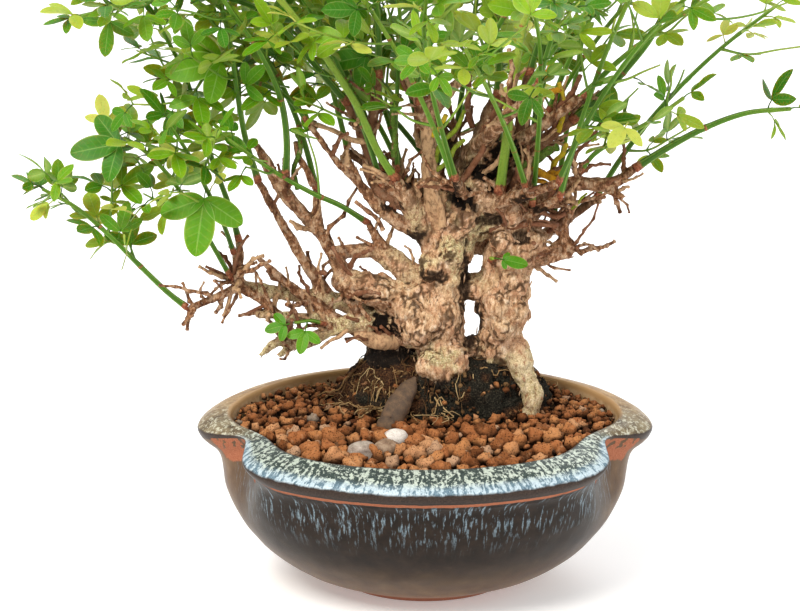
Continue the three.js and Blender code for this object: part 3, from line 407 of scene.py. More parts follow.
class Paint:
    """The node tree of one material while it is put together."""

    def __init__(self, name: str) -> None:
        """Starts an empty material."""
        self.material = bpy.data.materials.new(name)
        self.material.use_nodes = True
        self.tree = self.material.node_tree
        self.tree.nodes.clear()
        place = self.node("ShaderNodeTexCoord", {}, {})
        self.place = Value(self, place.outputs["Object"])

    def node(self, kind: str, settings: Mapping[str, Any], sockets: Mapping[int | str,
            Any]) -> bpy.types.Node:
        """Adds one node.

        Args:
            kind: its type.
            settings: what is set on it first, such as an operation, or a ramp's stops.
            sockets: a value, colour or number for each socket, by name or number.

        Returns:
            The node.
        """
        node = self.tree.nodes.new(kind)
        for key, setting in settings.items():
            if key == "stops":
                self.set_stops(node.color_ramp, setting)
            else:
                setattr(node, key, setting)
        for key, value in sockets.items():
            if isinstance(value, Value):
                self.tree.links.new(value.link, node.inputs[key])
            else:
                node.inputs[key].default_value = value
        return node

    @staticmethod
    def set_stops(ramp: bpy.types.ColorRamp, stops: Sequence[tuple[float, str]]) -> None:
        """Gives a colour ramp its stops, each a place from 0 to 1 and a colour code."""
        while len(ramp.elements) < len(stops):
            ramp.elements.new(1.0)
        for element, (place, code) in zip(ramp.elements, stops):
            element.position = place
            element.color = colour(code)

    def carried(self, *names: str) -> list[Value]:
        """The named values that the piece's points carry."""
        nodes = [self.node("ShaderNodeAttribute", {"attribute_name": name}, {}) for name in names]
        return [Value(self, node.outputs["Fac"]) for node in nodes]

    def stretched(self, x: float, y: float, z: float, at: Value | None = None) -> Value:
        """The place on the object, or another vector, with each of its three parts multiplied."""
        sockets = {0: at or self.place, 1: (x, y, z)}
        return Value(self, self.node("ShaderNodeVectorMath", {"operation": "MULTIPLY"}, sockets).outputs[0])

    def vector(self, *parts: Value) -> Value:
        """A vector from three values."""
        return Value(self, self.node("ShaderNodeCombineXYZ", {}, dict(enumerate(parts))).outputs[0])

    def cloud(self, size: float, detail: float = 2.0, rough: float = 0.5, at: Value | None = None) -> Value:
        """Soft noise from 0 to 1.

        Args:
            size: the width of a swell in millimetres.
            detail: the number of finer layers.
            rough: how strong they are.
            at: where it is read, if not at the place on the object.

        Returns:
            The noise.
        """
        sockets = {"Vector": at or self.place, "Scale": 1 / (size * MM), "Detail": detail,
            "Roughness": rough}
        return Value(self, self.node("ShaderNodeTexNoise", {}, sockets).outputs[0])

    def cells(self, size: float, at: Value | None = None) -> Value:
        """Distance to the nearest of many scattered points, as a share of how far they stand apart."""
        sockets = {"Vector": at or self.place, "Scale": 1 / (size * MM)}
        return Value(self, self.node("ShaderNodeTexVoronoi", {}, sockets).outputs["Distance"])

    def ramp(self, value: Value, *stops: tuple[float, str]) -> Tint:
        """A colour for each value, from stops."""
        node = self.node("ShaderNodeValToRGB", {"stops": stops}, {"Fac": value})
        return Tint(self, node.outputs["Color"])

    def blend(self, share: Value, under: "Tint | str", over: "Tint | str") -> Tint:
        """One colour over another.

        Args:
            share: how much of the upper colour shows.
            under: the lower colour, or its code.
            over: the upper colour, or its code.

        Returns:
            The blended colour.
        """
        tints = [colour(t) if isinstance(t, str) else t for t in (under, over)]
        node = self.node("ShaderNodeMix", {"data_type": "RGBA"}, {0: share, 6: tints[0], 7: tints[1]})
        return Tint(self, node.outputs[2])

    def layered(self, base: Tint, *layers: tuple[Value, "Tint | str"]) -> Tint:
        """Colours laid over a base one after the other, each with how much of it shows."""
        for share, over in layers:
            base = self.blend(share, base, over)
        return base

    def finish(self, base: Tint, rough: Value, height: Value, depth: float,
            **constants: float) -> bpy.types.Material:
        """Closes the material with one surface shader.

        Args:
            base: its colour.
            rough: its roughness.
            height: its relief from 0 to 1.
            depth: how deep that is, in millimetres.
            **constants: other numbers of the shader, with _ for a space and small letters.

        Returns:
            The material.
        """
        bump = self.node("ShaderNodeBump", {}, {"Strength": 1.0, "Distance": depth * MM, "Height": height})
        sockets: dict[int | str, Any] = {"Base Color": base, "Roughness": rough}
        sockets["Normal"] = Value(self, bump.outputs[0])
        for name, number in constants.items():
            words = name.replace("_", " ").title()
            sockets[words.replace("Ior", "IOR")] = number
        surface = self.node("ShaderNodeBsdfPrincipled", {}, sockets)
        self.node("ShaderNodeOutputMaterial", {}, {"Surface": Value(self, surface.outputs[0])})
        return self.material


@dataclass(frozen=True)
class Finish:
    """What a piece is dressed in, and the slot of the record that it belongs to."""

    name: str
    slot: str

    def material(self) -> bpy.types.Material:
        """The finish's material, made once."""
        return bpy.data.materials.get(self.name) or self.mixed(Paint(self.name))

    def mixed(self, paint: Paint) -> bpy.types.Material:
        """Mixes the material; each finish has its own."""
        raise NotImplementedError

    def dress(self, piece: Piece) -> None:
        """Puts the finish on a piece."""
        piece.data.materials.clear()
        piece.data.materials.append(self.material())


@dataclass(frozen=True)
class Glaze(Finish):
    """Dark brown stoneware glaze with a speckled pale lip, drips under it and bare clay at the edges."""

    def mixed(self, paint: Paint) -> bpy.types.Material:
        """Mixes the glaze from the place along the pot's section and round its rim."""
        reach, front, notch, rise = paint.carried("reach", "front", "notch", "rise")
        east, north = paint.carried("east", "north")
        round_pot = paint.vector(east * 0.1, north * 0.1, rise * 0.0001)
        drips = paint.cloud(1.3, 3.0, 0.6, paint.stretched(1.0, 1.0, 2.0, round_pot))
        gather = paint.cloud(13.0, 2.0, 0.5, paint.stretched(1.0, 1.0, 4.0, round_pot))
        runs = paint.cloud(1.7, 2.0, 0.6, paint.stretched(1.0, 1.0, 5.0, round_pot))
        mottle = paint.cloud(6.0, 4.0, 0.6)
        fine = paint.cloud(0.8, 3.0, 0.7)
        # body of the pot
        body = paint.ramp(mottle, (0.3, "19120d"), (0.55, "251b14"), (0.8, "32271e"))
        # lighter olive-brown towards the pot's ends and bottom: partly the glaze's own tone, partly a
        # painted reflection of the pale surroundings
        low = rise.between(38, 6) * 0.7 + (1 - front).between(0.36, 0.95) * 0.8
        olive_and_reflection = paint.ramp(paint.cloud(9.0, 3.0), (0.3, "644529"), (0.6, "7e5e3c"), (0.8, "997a54"))
        body = paint.blend(low * 0.85, body, olive_and_reflection)
        body = paint.blend(rise.between(13, 4) * 0.7, body, "94623a")
        band = reach.between(-7, -11) * reach.between(-44, -17) * front.between(0.1, 0.5)
        drip = (drips + (gather - 0.5) * 0.3).between(0.54, 0.67) * band
        body = paint.blend(drip * 0.8, body, paint.ramp(fine, (0.3, "425663"), (0.7, "a3b8c3")))
        # bare clay: under the notches, along the lip's lower edge and on the foot
        clay = paint.ramp(fine, (0.2, "84492f"), (0.6, "a5664a"), (0.85, "bb8262"))
        wander = (mottle - 0.5) * 5
        edge = (reach + wander * 0.5).between(-8.8, -7.6) * (reach + wander * 0.3).between(-4.6, -5.8)
        edge = edge * (front + (gather - 0.5) * 0.9).between(0.5, 0.8)
        patch = notch.between(0.26, 0.4) * (reach + wander).between(-20, -15) * reach.between(-2.0, -3.6)
        smear = paint.cloud(3.4, 3.0).between(0.5, 0.57) * (reach + wander).between(-14, -9)
        bare = edge.maths("MAXIMUM", edge, patch * (1 - smear * 0.85)).between(0.3, 0.6)
        foot = rise.between(6.0, 3.0)
        bare = bare.maths("MAXIMUM", bare, foot * 0.9)
        body = paint.blend(bare, body, clay)
        # lip
        dense = paint.cloud(2.0, 4.0, 0.7)
        navy = paint.ramp(fine, (0.3, "2b3230"), (0.7, "4c5a58"))
        steel = paint.ramp(fine, (0.3, "4c6372"), (0.7, "7f98a6"))
        cream = paint.ramp(fine, (0.25, "a4b2a8"), (0.6, "cbd4c8"), (0.85, "ebe8d6"))
        blue = paint.ramp(fine, (0.2, "8fa7b5"), (0.5, "bccdd6"), (0.85, "e0eaee"))
        upper = paint.blend((dense + runs * 0.5).between(0.75, 0.81), navy, cream)
        lower = paint.blend((dense * 0.6 + runs).between(0.72, 0.84), steel, blue)
        lip = paint.blend((reach + wander * 0.8).between(8.0, 3.0), upper, lower)
        ear = paint.ramp(mottle, (0.3, "43362a"), (0.5, "7a6c54"), (0.75, "a09478"))
        ear = paint.blend((dense + fine * 0.3).between(0.66, 0.74) * 0.8, ear, "cfccb8")
        far = paint.ramp(mottle, (0.3, "8a6238"), (0.6, "b8925f"), (0.8, "dcc698"))
        ear = paint.blend((front * -1).between(-0.1, 0.5), ear, far)
        lip = paint.blend((front + (mottle - 0.5) * 0.5).between(0.22, 0.5), ear, lip)
        crest = paint.blend((front * -1).between(-0.3, 0.2), "342c26", "b08c60")
        rolled = paint.blend((reach + wander * 0.2).between(16.6, 18.4), lip, crest)
        band_dark = paint.ramp(fine, (0.3, "241c18"), (0.7, "43352d"))
        rolled = paint.blend((reach + wander * 0.4).between(1.6, 0.2), rolled, band_dark)
        inner = paint.ramp(mottle, (0.3, "a07c55"), (0.6, "c6a780"), (0.85, "dcc8a6"))
        rolled = paint.blend(reach.between(20.4, 22.0), rolled, inner)
        base = paint.blend((reach + wander * 0.15).between(-4.6, -3.4), body, rolled)
        base = paint.blend(patch.between(0.3, 0.6) * reach.between(-1.5, -3.0), base, body)
        rough = 0.3 + fine * 0.12 + bare * 0.45 + reach.between(20.0, 22.0) * 0.35
        height = fine * 0.3 + dense * reach.between(-2, 3) * 0.7 + drip * 0.4
        return paint.finish(base, rough, height, 0.12, specular_ior_level=0.14, coat_weight=0.05,
            coat_roughness=0.15)


@dataclass(frozen=True)
class Granules(Finish):
    """Porous baked clay in reds, oranges and browns."""

    def mixed(self, paint: Paint) -> bpy.types.Material:
        """Mixes each granule from its own tone, with pores, pale dust and painted shade from the value
        dark.
        """
        tone, dark = paint.carried("tone", "dark")
        fine = paint.cloud(0.9, 4.0, 0.75)
        broad = paint.cloud(3.5, 3.0, 0.6)
        pores = paint.cells(1.1)
        base = paint.ramp(tone, (0.0, "5b331b"), (0.25, "84502c"), (0.5, "a8683d"), (0.75, "c08250"),
            (0.93, "d39c70"), (1.0, "a39280"))
        base = paint.layered(
            base,
            (fine.between(0.54, 0.78) * 0.6, "dba578"),
            (fine.between(0.47, 0.3) * 0.75, "482311"),
            (pores.between(0.33, 0.15) * 0.85, "2b1206"),
            (broad.between(0.58, 0.7) * 0.3, "dcae84"),
            # painted shade: dark undersides, the lower layer and the bed that show in the gaps
            (dark * 0.9, "1d0c04"),
        )
        rough = 0.86 + fine * 0.1
        height = fine * 0.6 + pores.between(0.1, 0.4) * 0.4
        return paint.finish(base, rough, height, 0.7, specular_ior_level=0.15)


@dataclass(frozen=True)
class Peat(Finish):
    """Dark fibrous peat with black-green moss, pale fine roots and crumbs of clay."""

    def mixed(self, paint: Paint) -> bpy.types.Material:
        """Mixes peat, moss and roots from the values that the points carry."""
        moss, root, tone = paint.carried("moss", "root", "tone")
        fine = paint.cloud(0.8, 4.0, 0.75)
        broad = paint.cloud(6.0, 3.0, 0.6)
        peat = paint.ramp(fine, (0.32, "140c07"), (0.48, "35231a"), (0.62, "68492f"), (0.76, "997655"))
        peat = paint.blend(broad.between(0.5, 0.65) * fine.between(0.4, 0.6) * 0.7, peat, "84502f")
        green = paint.ramp(fine, (0.34, "080704"), (0.5, "22201a"), (0.64, "454136"), (0.78, "858070"))
        base = paint.blend(moss + (broad - 0.5) * 0.8, peat, green)
        fibre = paint.ramp(tone, (0.0, "4a3220"), (0.35, "7e5f3e"), (0.7, "b08c5e"), (1.0, "dcc08c"))
        fibre = paint.blend(fine.between(0.5, 0.3) * 0.5, fibre, "5a4028")
        base = paint.blend(root, base, fibre)
        return paint.finish(base, 0.8 + fine * 0.15, fine, 0.9, specular_ior_level=0.1)


@dataclass(frozen=True)
class Stone(Finish):
    """A weathered stone in three tones, darkest first."""

    tones: tuple[str, str, str]
    grain: float
    shine: float

    def mixed(self, paint: Paint) -> bpy.types.Material:
        """Mixes the stone from broad patches and fine grain."""
        broad = paint.cloud(3.4, 3.0, 0.6)
        fine = paint.cloud(0.6, 4.0, 0.8)
        share = broad * 0.6 + fine * 0.4
        dark, middle, light = self.tones
        base = paint.ramp(share, (0.36, dark), (0.5, middle), (0.64, light))
        pits = paint.cells(1.6)
        base = paint.blend(pits.between(0.2, 0.08) * 0.6, base, dark)
        return paint.finish(base, 1 - self.shine + (fine - 0.5) * 0.3, fine, self.grain)


BARK_VALUES = ("crack", "girth", "lichen", "peat", "stub", "green")


@dataclass(frozen=True)
class Bark(Finish):
    """Flaking bark: tan and pinkish on the trunks, red-brown on the twigs, with lichen, dark cracks,
    painted shade and painted highlights.
    """

    def mixed(self, paint: Paint) -> bpy.types.Material:
        """Mixes the bark from girth, cracks with painted shade and highlights, lichen and the colour of cut
        stubs.
        """
        crack, girth, lichen, peat, stub, green = paint.carried(*BARK_VALUES)
        fine = paint.cloud(0.7, 4.0, 0.75)
        flecks = paint.cloud(1.9, 4.0, 0.7, paint.stretched(1.0, 1.0, 0.5))
        broad = paint.cloud(7.0, 3.0, 0.6)
        flakes = paint.cells(2.3, paint.stretched(1.0, 1.0, 0.55))
        trunk = paint.ramp(flecks, (0.3, "785539"), (0.42, "b48a64"), (0.54, "dcb690"), (0.7, "fde6c8"))
        trunk = paint.blend(broad.between(0.44, 0.6) * 0.4, trunk, "c98e6c")
        twig = paint.ramp(flecks, (0.3, "3a2012"), (0.44, "754a2f"), (0.57, "ab7c58"), (0.72, "e8c7a6"))
        patches = paint.cloud(4.0, 2.0)
        twig = paint.blend(patches.between(0.52, 0.62) * 0.5, twig, "d2b494")
        twig = paint.blend(patches.between(0.47, 0.37) * 0.65, twig, "46291a")
        base = paint.blend(girth.between(2.4, 7.0), twig, trunk)
        scaly = paint.ramp(fine, (0.3, "83744a"), (0.46, "bcaa76"), (0.6, "e4d5ac"), (0.76, "f6edd6"))
        base = paint.layered(
            base,
            (lichen * flecks.between(0.34, 0.52), scaly),
            (fine.between(0.6, 0.72) * 0.5, "f6e6cc"),
            (fine.between(0.47, 0.31) * 0.75, "3d2414"),
            (flakes.between(0.62, 0.85) * 0.4, "4a2e1b"),
            # painted highlight on raised bark, where the value is below zero
            ((crack * -1).between(0.0, 0.9) * flecks.between(0.3, 0.5) * 0.75, "fbe6c6"),
            # brown cracks, and the lighter painted shade
            (crack.between(0.08, 0.5) * 0.7, "6b4a2f"),
            # near black for deep cracks and the stronger painted shade
            ((crack - 0.32) * 2.3 * flecks.between(0.9, 0.45), "130a04"),
        )
        # peat soaking on the lowest wood and surface roots, and painted shade on the limb that stands
        # behind
        soaked = (peat * 1.6 - flecks).between(0.0, 0.4)
        base = paint.blend(soaked, base, paint.ramp(fine, (0.4, "0d0a07"), (0.6, "241a12"),
            (0.75, "4a4630")))
        cut = paint.ramp(stub, (0.0, "6b3220"), (0.34, "c9a27a"), (0.6, "c88c20"), (0.85, "ccb12a"),
            (1.0, "8aa02c"))
        fresh = paint.ramp(fine, (0.3, "2f4d12"), (0.7, "5f8a2a"))
        worn = flecks.between(0.36, 0.56) * 0.65 + 0.25
        worn = worn + stub.between(0.45, 0.6) * (0.12 + fine.between(0.4, 0.6) * 0.25)
        base = paint.blend(stub.between(0.0, 0.04) * worn, base, cut)
        base = paint.blend(green * worn.between(0.2, 0.5), base, fresh)
        rough = 0.82 + fine * 0.12
        height = flecks * 0.5 + fine * 0.35 + flakes.between(0.7, 0.2) * 0.3
        return paint.finish(base, rough, height, 1.1, specular_ior_level=0.2)


LEAF_VALUES = ("blade", "across", "along", "young", "under", "collar")


@dataclass(frozen=True)
class Foliage(Finish):
    """Square green stems with pale ridges and red-brown collars, and soft thin leaves."""

    def mixed(self, paint: Paint) -> bpy.types.Material:
        """Mixes leaf and stem from the values that the points carry."""
        blade, across, along, young, under, collar = paint.carried(*LEAF_VALUES)
        fine = paint.cloud(1.2, 3.0, 0.6)
        broad = paint.cloud(5.0, 2.0, 0.5)
        leaf = paint.ramp(young + (broad - 0.5) * 0.18, (0.0, "2f6f00"), (0.22, "458500"), (0.45, "679b04"),
            (0.7, "8dac1e"), (1.0, "b9c450"))
        leaf = paint.blend(under * 0.55, leaf, "a9bb63")
        side = abs(across)
        midrib = side.between(0.09, 0.02)
        rows = (along * 46 - side * 7).wave().between(0.8, 1.0) * side.between(0.95, 0.6)
        leaf = paint.layered(
            leaf,
            ((midrib * 0.24).maths("MAXIMUM", midrib * 0.24, rows * 0.06), "b7cf74"),
            (side.between(0.86, 1.0) * 0.3, "c3d27c"),
            (fine.between(0.5, 0.3) * 0.2, "2c5c08"),
        )
        stem = paint.ramp(young, (0.0, "2c500c"), (0.4, "4e7a16"), (0.7, "80992c"), (1.0, "acb450"))
        stem = paint.blend(across.between(0.45, 1.0) * 0.45, stem, "9dbb5c")
        stem = paint.blend(fine.between(0.5, 0.28) * 0.35, stem, "2a4a10")
        bark = paint.ramp(fine, (0.3, "5a2f1c"), (0.55, "96573a"), (0.75, "c08a62"))
        stem = paint.blend((collar + (fine - 0.5) * 0.5).between(0.35, 0.6), stem, bark)
        base = paint.blend(blade, stem, leaf)
        rough = 0.42 + fine * 0.12 + collar * 0.3
        height = broad * 0.4 + (1 - rows) * 0.15 + (1 - midrib) * 0.35
        return paint.finish(base, rough, height, 0.22, subsurface_weight=0.2, subsurface_scale=0.0012,
            specular_ior_level=0.25)


GLAZE = Glaze("brown_stoneware_glaze", "glazed_stoneware")
CLAY = Granules("baked_clay", "baked_clay_granules")
PEAT = Peat("moss_and_peat", "mossy_peat")
WHITE_STONE = Stone("white_stone", "white_pebble", ("b9aca0", "e6ded6", "f6f1ea"), 0.2, 0.35)
GREY_STONE = Stone("grey_stone", "grey_pebble", ("84756a", "b0a194", "d3c8bc"), 0.4, 0.2)
BROWN_STONE = Stone("brown_stone", "brown_pebble", ("6b5242", "947860", "bca48c"), 0.4, 0.2)
SLATE = Stone("dark_slate", "dark_slab", ("45352a", "5c4734", "75593f"), 0.25, 0.3)
ROOT = Stone("pale_root_skin", "pale_root", ("8c5a36", "c78f62", "e6b98e"), 0.3, 0.2)
BARK = Bark("old_bark_finish", "old_bark")
LEAFY = Foliage("green_leaf_and_stem", "green_shoot")


# Pot


@dataclass
class Pot:
    """The oval pot with its rolled lip and the two pinched notches at the front."""

    half_length: float = 111.0
    half_depth: float = 90.0
    height: float = 83.0
    sides: int = 288
    step: float = 1.5
    notch_turns: tuple[float, float] = (21.0, 26.0)
    notch_widths: tuple[float, float] = (13.5, 17.0)
    drain_radius: float = 6.0
    drain_offset: float = 22.0
    soil_top: float = 79.0
    # height, half length, dent and lift from the foot up to the underside of the lip
    wall: tuple[tuple[float, ...], ...] = ((0, 40, 0, 0), (3, 45.5, 0, 0), (11, 64, 0, 0), (26, 82.7, 0, 0),
        (46, 96.2, 0.04, 0), (66, 102.5, 0.135, 7))
    # below the crest, in from the edge, dent and lift, from the lip's underside to its crest
    lip: tuple[tuple[float, ...], ...] = ((14.5, 4.5, 0.165, 8), (11, 1.2, 0.17, 7.6), (7.6, 0, 0.17, 5.5),
        (3.8, 4, 0.15, 2.4), (0.7, 11, 0.12, 0.5), (0, 16.2, 0.105, 0))
    # height, half length, half depth and dent, from the soil's level down to the floor
    inner: tuple[tuple[float, ...], ...] = ((79, 93.5, 73.7, 0.103), (60, 92.5, 74, 0.09),
        (44, 88, 71.5, 0.03), (8, 46, 37.3, 0))

    def rows(self) -> Array:
        """Half length, height, half depth, inward share, dent and lift of the section's rows."""
        ratio = self.half_depth / self.half_length
        rows = [[length, up, length * ratio, 0, dent, lift] for up, length, dent, lift in self.wall]
        deepest = self.lip[-1][1]
        for below, inside, dent, lift in self.lip:
            half, deep = self.half_length - inside, self.half_depth - inside
            rows.append([half, self.height - below, deep, inside / deepest, dent, lift])
        for up, length, deep, dent in self.inner:
            rows.append([length, up, deep, 1.0 if dent else 0.0, dent, 0])
        return np.array(rows, float)

    def notch(self, turn: Array, inward: Array) -> Array:
        """How far a place on the rim lies in a notch.

        Args:
            turn: its angle round the pot.
            inward: 0 at the lip's edge and 1 at its crest.

        Returns:
            0 outside the notches, 1 in their middle.
        """
        from_end = np.arctan2(-np.sin(turn), np.abs(np.cos(turn)))
        middle = np.radians(self.notch_turns[0] + (self.notch_turns[1] - self.notch_turns[0]) * inward)
        width = np.radians(self.notch_widths[0] + (self.notch_widths[1] - self.notch_widths[0]) * inward)
        return np.exp(-(((from_end - middle) / width) ** 2))

    def inside(self, turn: Array, shrink: float) -> tuple[Array, Array]:
        """Half length and half depth of the room inside the wall at the soil's level.

        Args:
            turn: the angles.
            shrink: how far from the wall it stays.

        Returns:
            Both, for each angle.
        """
        _, length, deep, dent = self.inner[0]
        reach = 1 - dent * self.notch(turn, np.ones_like(turn))
        return (length - shrink) * reach, (deep - shrink) * reach

    def build(self) -> list[Piece]:
        """Makes and returns the pot, with its two drain holes cut."""
        control = self.rows()
        rows, spans = smooth_run(control, self.step, 2)
        rows[:, 1] = np.maximum(rows[:, 1], 0)
        reach = walked(rows[:, :2])
        edge = len(self.wall) + 2
        reach -= reach[np.argmin(abs(spans - edge))]
        turn = turns_round(self.sides, 0)
        length, up, deep, inward, dent, lift = (rows[:, i : i + 1] for i in range(6))
        notch = self.notch(turn[None], inward)
        pinch = 1 - dent * notch
        x, y = length * pinch * np.cos(turn), deep * pinch * np.sin(turn)
        points = np.stack([x, y, up + lift * notch], axis=-1).reshape(-1, 3)
        outward = np.tile(np.stack([np.cos(turn), np.sin(turn)], 1), (len(rows), 1))
        free = (ramp_up(points[:, 2], 3, 10) * 0.3)[:, None]
        points[:, :2] += outward * free * noise_at(points, 16, 2)[:, None]
        bottom, floor = points[0] * [0, 0, 1], np.array([0, 0, points[-1][2]])
        skin = Skin("reach", "front", "notch", "rise", "east", "north")

        def spread(values: Array) -> Array:
            """Values for all points, with one each for the two middle points."""
            full = np.broadcast_to(values, notch.shape).ravel()
            return np.concatenate([full, [full[0], full[-1]]])

        skin.add(np.vstack([points, bottom, floor]), closed_rings(len(rows), self.sides),
            reach=spread(reach[:, None]), front=spread(-np.sin(turn)[None]), notch=spread(notch),
            rise=spread(up), east=spread(np.cos(turn)[None]), north=spread(np.sin(turn)[None]))
        piece = skin.piece("glazed_pot", GLAZE, "pot")
        self.drill(piece)
        return [piece]

    def drill(self, piece: Piece) -> None:
        """Cuts the drain holes through the pot's floor."""
        cutter = Skin()
        for side in (-1, 1):
            line = np.array([[side * self.drain_offset, 0, -6.0], [side * self.drain_offset, 0, 20.0]])
            cutter.tube(line, np.full(2, self.drain_radius), 32)
        tool = cutter.bare("drain_cutter")
        cut = piece.modifiers.new("drains", "BOOLEAN")
        cut.operation = "DIFFERENCE"
        cut.object = tool
        settle(piece)
        bpy.data.objects.remove(tool)


def settle(piece: Piece) -> None:
    """Works a piece's modifiers into its mesh."""
    graph = bpy.context.evaluated_depsgraph_get()
    mesh = bpy.data.meshes.new_from_object(piece.evaluated_get(graph), preserve_all_data_layers=True,
        depsgraph=graph)
    piece.modifiers.clear()
    old = piece.data
    piece.data = mesh
    mesh.name = old.name
    bpy.data.meshes.remove(old)


# What fills the pot


def chunk(detail: int) -> tuple[Array, Array]:
    """Points and faces of a ball of radius one, made of triangles.

    Args:
        detail: how often they are split.

    Returns:
        Its points and its faces.
    """
    build = bmesh.new()
    bmesh.ops.create_icosphere(build, subdivisions=detail, radius=1.0)
    points = np.array([vert.co[:] for vert in build.verts])
    faces = np.array([[vert.index for vert in face.verts] for face in build.faces])
    build.free()
    return points, faces


def chipped(points: Array, dice: Chance, cuts: int, depth: float) -> Array:
    """A ball with flat places knocked off it.

    Args:
        points: the ball's points.
        dice: its random numbers.
        cuts: the number of flat places.
        depth: how deep they go.

    Returns:
        The chipped points.
    """
    points = points.copy()
    for way in dice.normal(size=(cuts, 3)):
        way = unit(way)
        over = points @ way - (1 - depth * dice.random())
        points -= np.outer(np.maximum(over, 0) * 0.9, way)
    return points


def turned(points: Array, dice: Chance) -> Array:
    """Points turned at random about the origin."""
    turn, _ = np.linalg.qr(dice.normal(size=(3, 3)))
    return points @ (turn * np.sign(np.linalg.det(turn)))


@dataclass
class RootBall:
    """The root ball: a lumpy mound of peat, moss and fine roots that the trunks stand in."""

    centre: tuple[float, float] = (9.0, 27.0)
    depth_ratio: float = 0.56
    sides: int = 190
    # half length and height, from the middle of the mound out to its foot and down under the soil
    section: tuple[tuple[float, float], ...] = ((0, 107.5), (20, 106.5), (38, 101), (48, 91), (53, 80),
        (50, 66), (42, 50))
    roots: int = 150
    tufts: int = 3600
    crumbs: int = 900
    seed: int = 31

    def top(self, x: Array, y: Array) -> Array:
        """Height of the mound at places in plan."""
        out = np.hypot(x - self.centre[0], (y - self.centre[1]) / self.depth_ratio)
        halves = [half for half, _ in self.section[:5]]
        return np.interp(out, [*halves, 60], [*[up for _, up in self.section[:5]], 72])

    def build(self) -> list[Piece]:
        """Makes and returns the mound with its moss, roots and crumbs."""
        dice = np.random.default_rng(self.seed)
        skin = Skin("moss", "root", "tone")
        rows, _ = smooth_run(np.array(self.section, float), 1.5, 2)
        rows[:, 0] = np.maximum(rows[:, 0], 0.4)
        turn = turns_round(self.sides, 0)
        x = self.centre[0] + rows[:, :1] * np.cos(turn)
        y = self.centre[1] + rows[:, :1] * self.depth_ratio * np.sin(turn)
        points = np.stack([x, y, np.broadcast_to(rows[:, 1:], x.shape)], -1)[::-1].reshape(-1, 3)
        swell = noise_at(points, 14, 2) * 2.8 + noise_at(points, 4.5, 3) * 2.6 + noise_at(points + 9, 2, 2)
        middle = np.array([*self.centre, 70.0])
        away = points - middle
        away /= np.linalg.norm(away, axis=1)[:, None]
        points = points + away * (swell * ramp_up(points[:, 2], 60, 84))[:, None]
        points = np.vstack([points, [*self.centre, 50.0], [*self.centre, points[-1][2]]])
        moss = self.moss_at(points)
        skin.add(points, closed_rings(len(rows), self.sides), moss=moss)
        self.lay_roots(skin, dice)
        self.grow_moss(skin, dice)
        self.drop_crumbs(skin, dice)
        return [skin.piece("mossy_root_ball", PEAT, "root_ball")]

    @staticmethod
    def moss_at(points: Array) -> Array:
        """How mossy the mound is at each point, from 0 to 1: most of all in front of the right trunk."""
        return ramp_up(noise_at(points + 40, 11, 2) + 0.5 * ramp_up(points[:, 0], -25, 5), 0.0, 0.4)

    def lay_roots(self, skin: Skin, dice: Chance) -> None:
        """Lays fine pale roots that wander over the mound and out on to the soil."""
        for _ in range(self.roots):
            is_left = dice.random() < 0.5
            bearing = dice.uniform(3.1, 4.7) if is_left else dice.uniform(0, 2 * math.pi)
            start = dice.uniform(34, 52) if is_left else dice.uniform(12, 46)
            length = dice.uniform(10, 34)
            steps = max(6, int(length / 1.8))
            heading = bearing + dice.normal() * 0.9
            place = np.array(self.centre) + start * np.array([math.cos(bearing), 0.6 * math.sin(bearing)])
            line = []
            lift = dice.uniform(0.0, 1.6)
            for i in range(steps):
                up = float(self.top(place[0], place[1]))
                arch = lift * math.sin(math.pi * i / (steps - 1)) * 2.2
                line.append([place[0], place[1], max(up, 83.2) + 0.9 + arch + dice.normal() * 0.3])
                heading += dice.normal() * 0.55
                place = place + length / steps * np.array([math.cos(heading), math.sin(heading)])
                out = (place - self.centre) / np.array([68.0, 44.0])
                if out @ out > 1:
                    break
            if len(line) < 4:
                continue
            radius = 0.18 + 0.42 * dice.random() ** 2
            radii = radius * np.linspace(1, 0.45, len(line)) * (1 + 0.15 * dice.normal(size=len(line)))
            tone = dice.random() ** (1.0 if is_left else 2.2)
            skin.tube(np.array(line), np.maximum(radii, 0.12), 5, blunt=0.6, root=1.0, tone=tone)

    def grow_moss(self, skin: Skin, dice: Chance) -> None:
        """Grows short tufts, moss where it is damp and broken fibres elsewhere."""
        for _ in range(self.tufts):
            bearing = dice.uniform(0, 2 * math.pi)
            out = 52 * math.sqrt(dice.random())
            x = self.centre[0] + out * math.cos(bearing)
            y = self.centre[1] + out * self.depth_ratio * math.sin(bearing)
            foot = np.array([x, y, float(self.top(x, y)) - 0.4])
            moss = float(self.moss_at(foot[None])[0])
            is_moss = dice.random() < moss
            spread = 0.8 if is_moss else 1.8
            tall = dice.uniform(1.0, 3.2) if is_moss else dice.uniform(1.5, 5.0)
            lean = np.array([*dice.normal(size=2) * spread, 1.0])
            line = np.array([foot, foot + unit(lean) * tall])
            width = dice.uniform(0.25, 0.6) if is_moss else dice.uniform(0.14, 0.3)
            fibre = 0.9 * dice.random() ** 2 * (not is_moss)
            skin.tube(line, np.array([width, 0.1]), 3, moss=float(is_moss), root=fibre,
                tone=dice.random() ** 2)

    def drop_crumbs(self, skin: Skin, dice: Chance) -> None:
        """Drops small crumbs of peat and clay on the mound."""
        ball, faces = chunk(1)
        for _ in range(self.crumbs):
            bearing = dice.uniform(0, 2 * math.pi)
            out = 54 * dice.random() ** 0.4
            x = self.centre[0] + out * math.cos(bearing)
            y = self.centre[1] + out * self.depth_ratio * math.sin(bearing)
            size = dice.uniform(0.5, 1.7)
            place = [x, y, float(self.top(x, y)) + size * 0.4]
            shape = turned(chipped(ball, dice, 3, 0.6) * dice.uniform(0.6, 1.2, 3) * size, dice)
            clay = 0.8 * (dice.random() < 0.15 + 0.75 * (out / 54) ** 2)
            skin.add(shape + place, faces, moss=dice.random() ** 2, root=clay, tone=0.5 * dice.random())


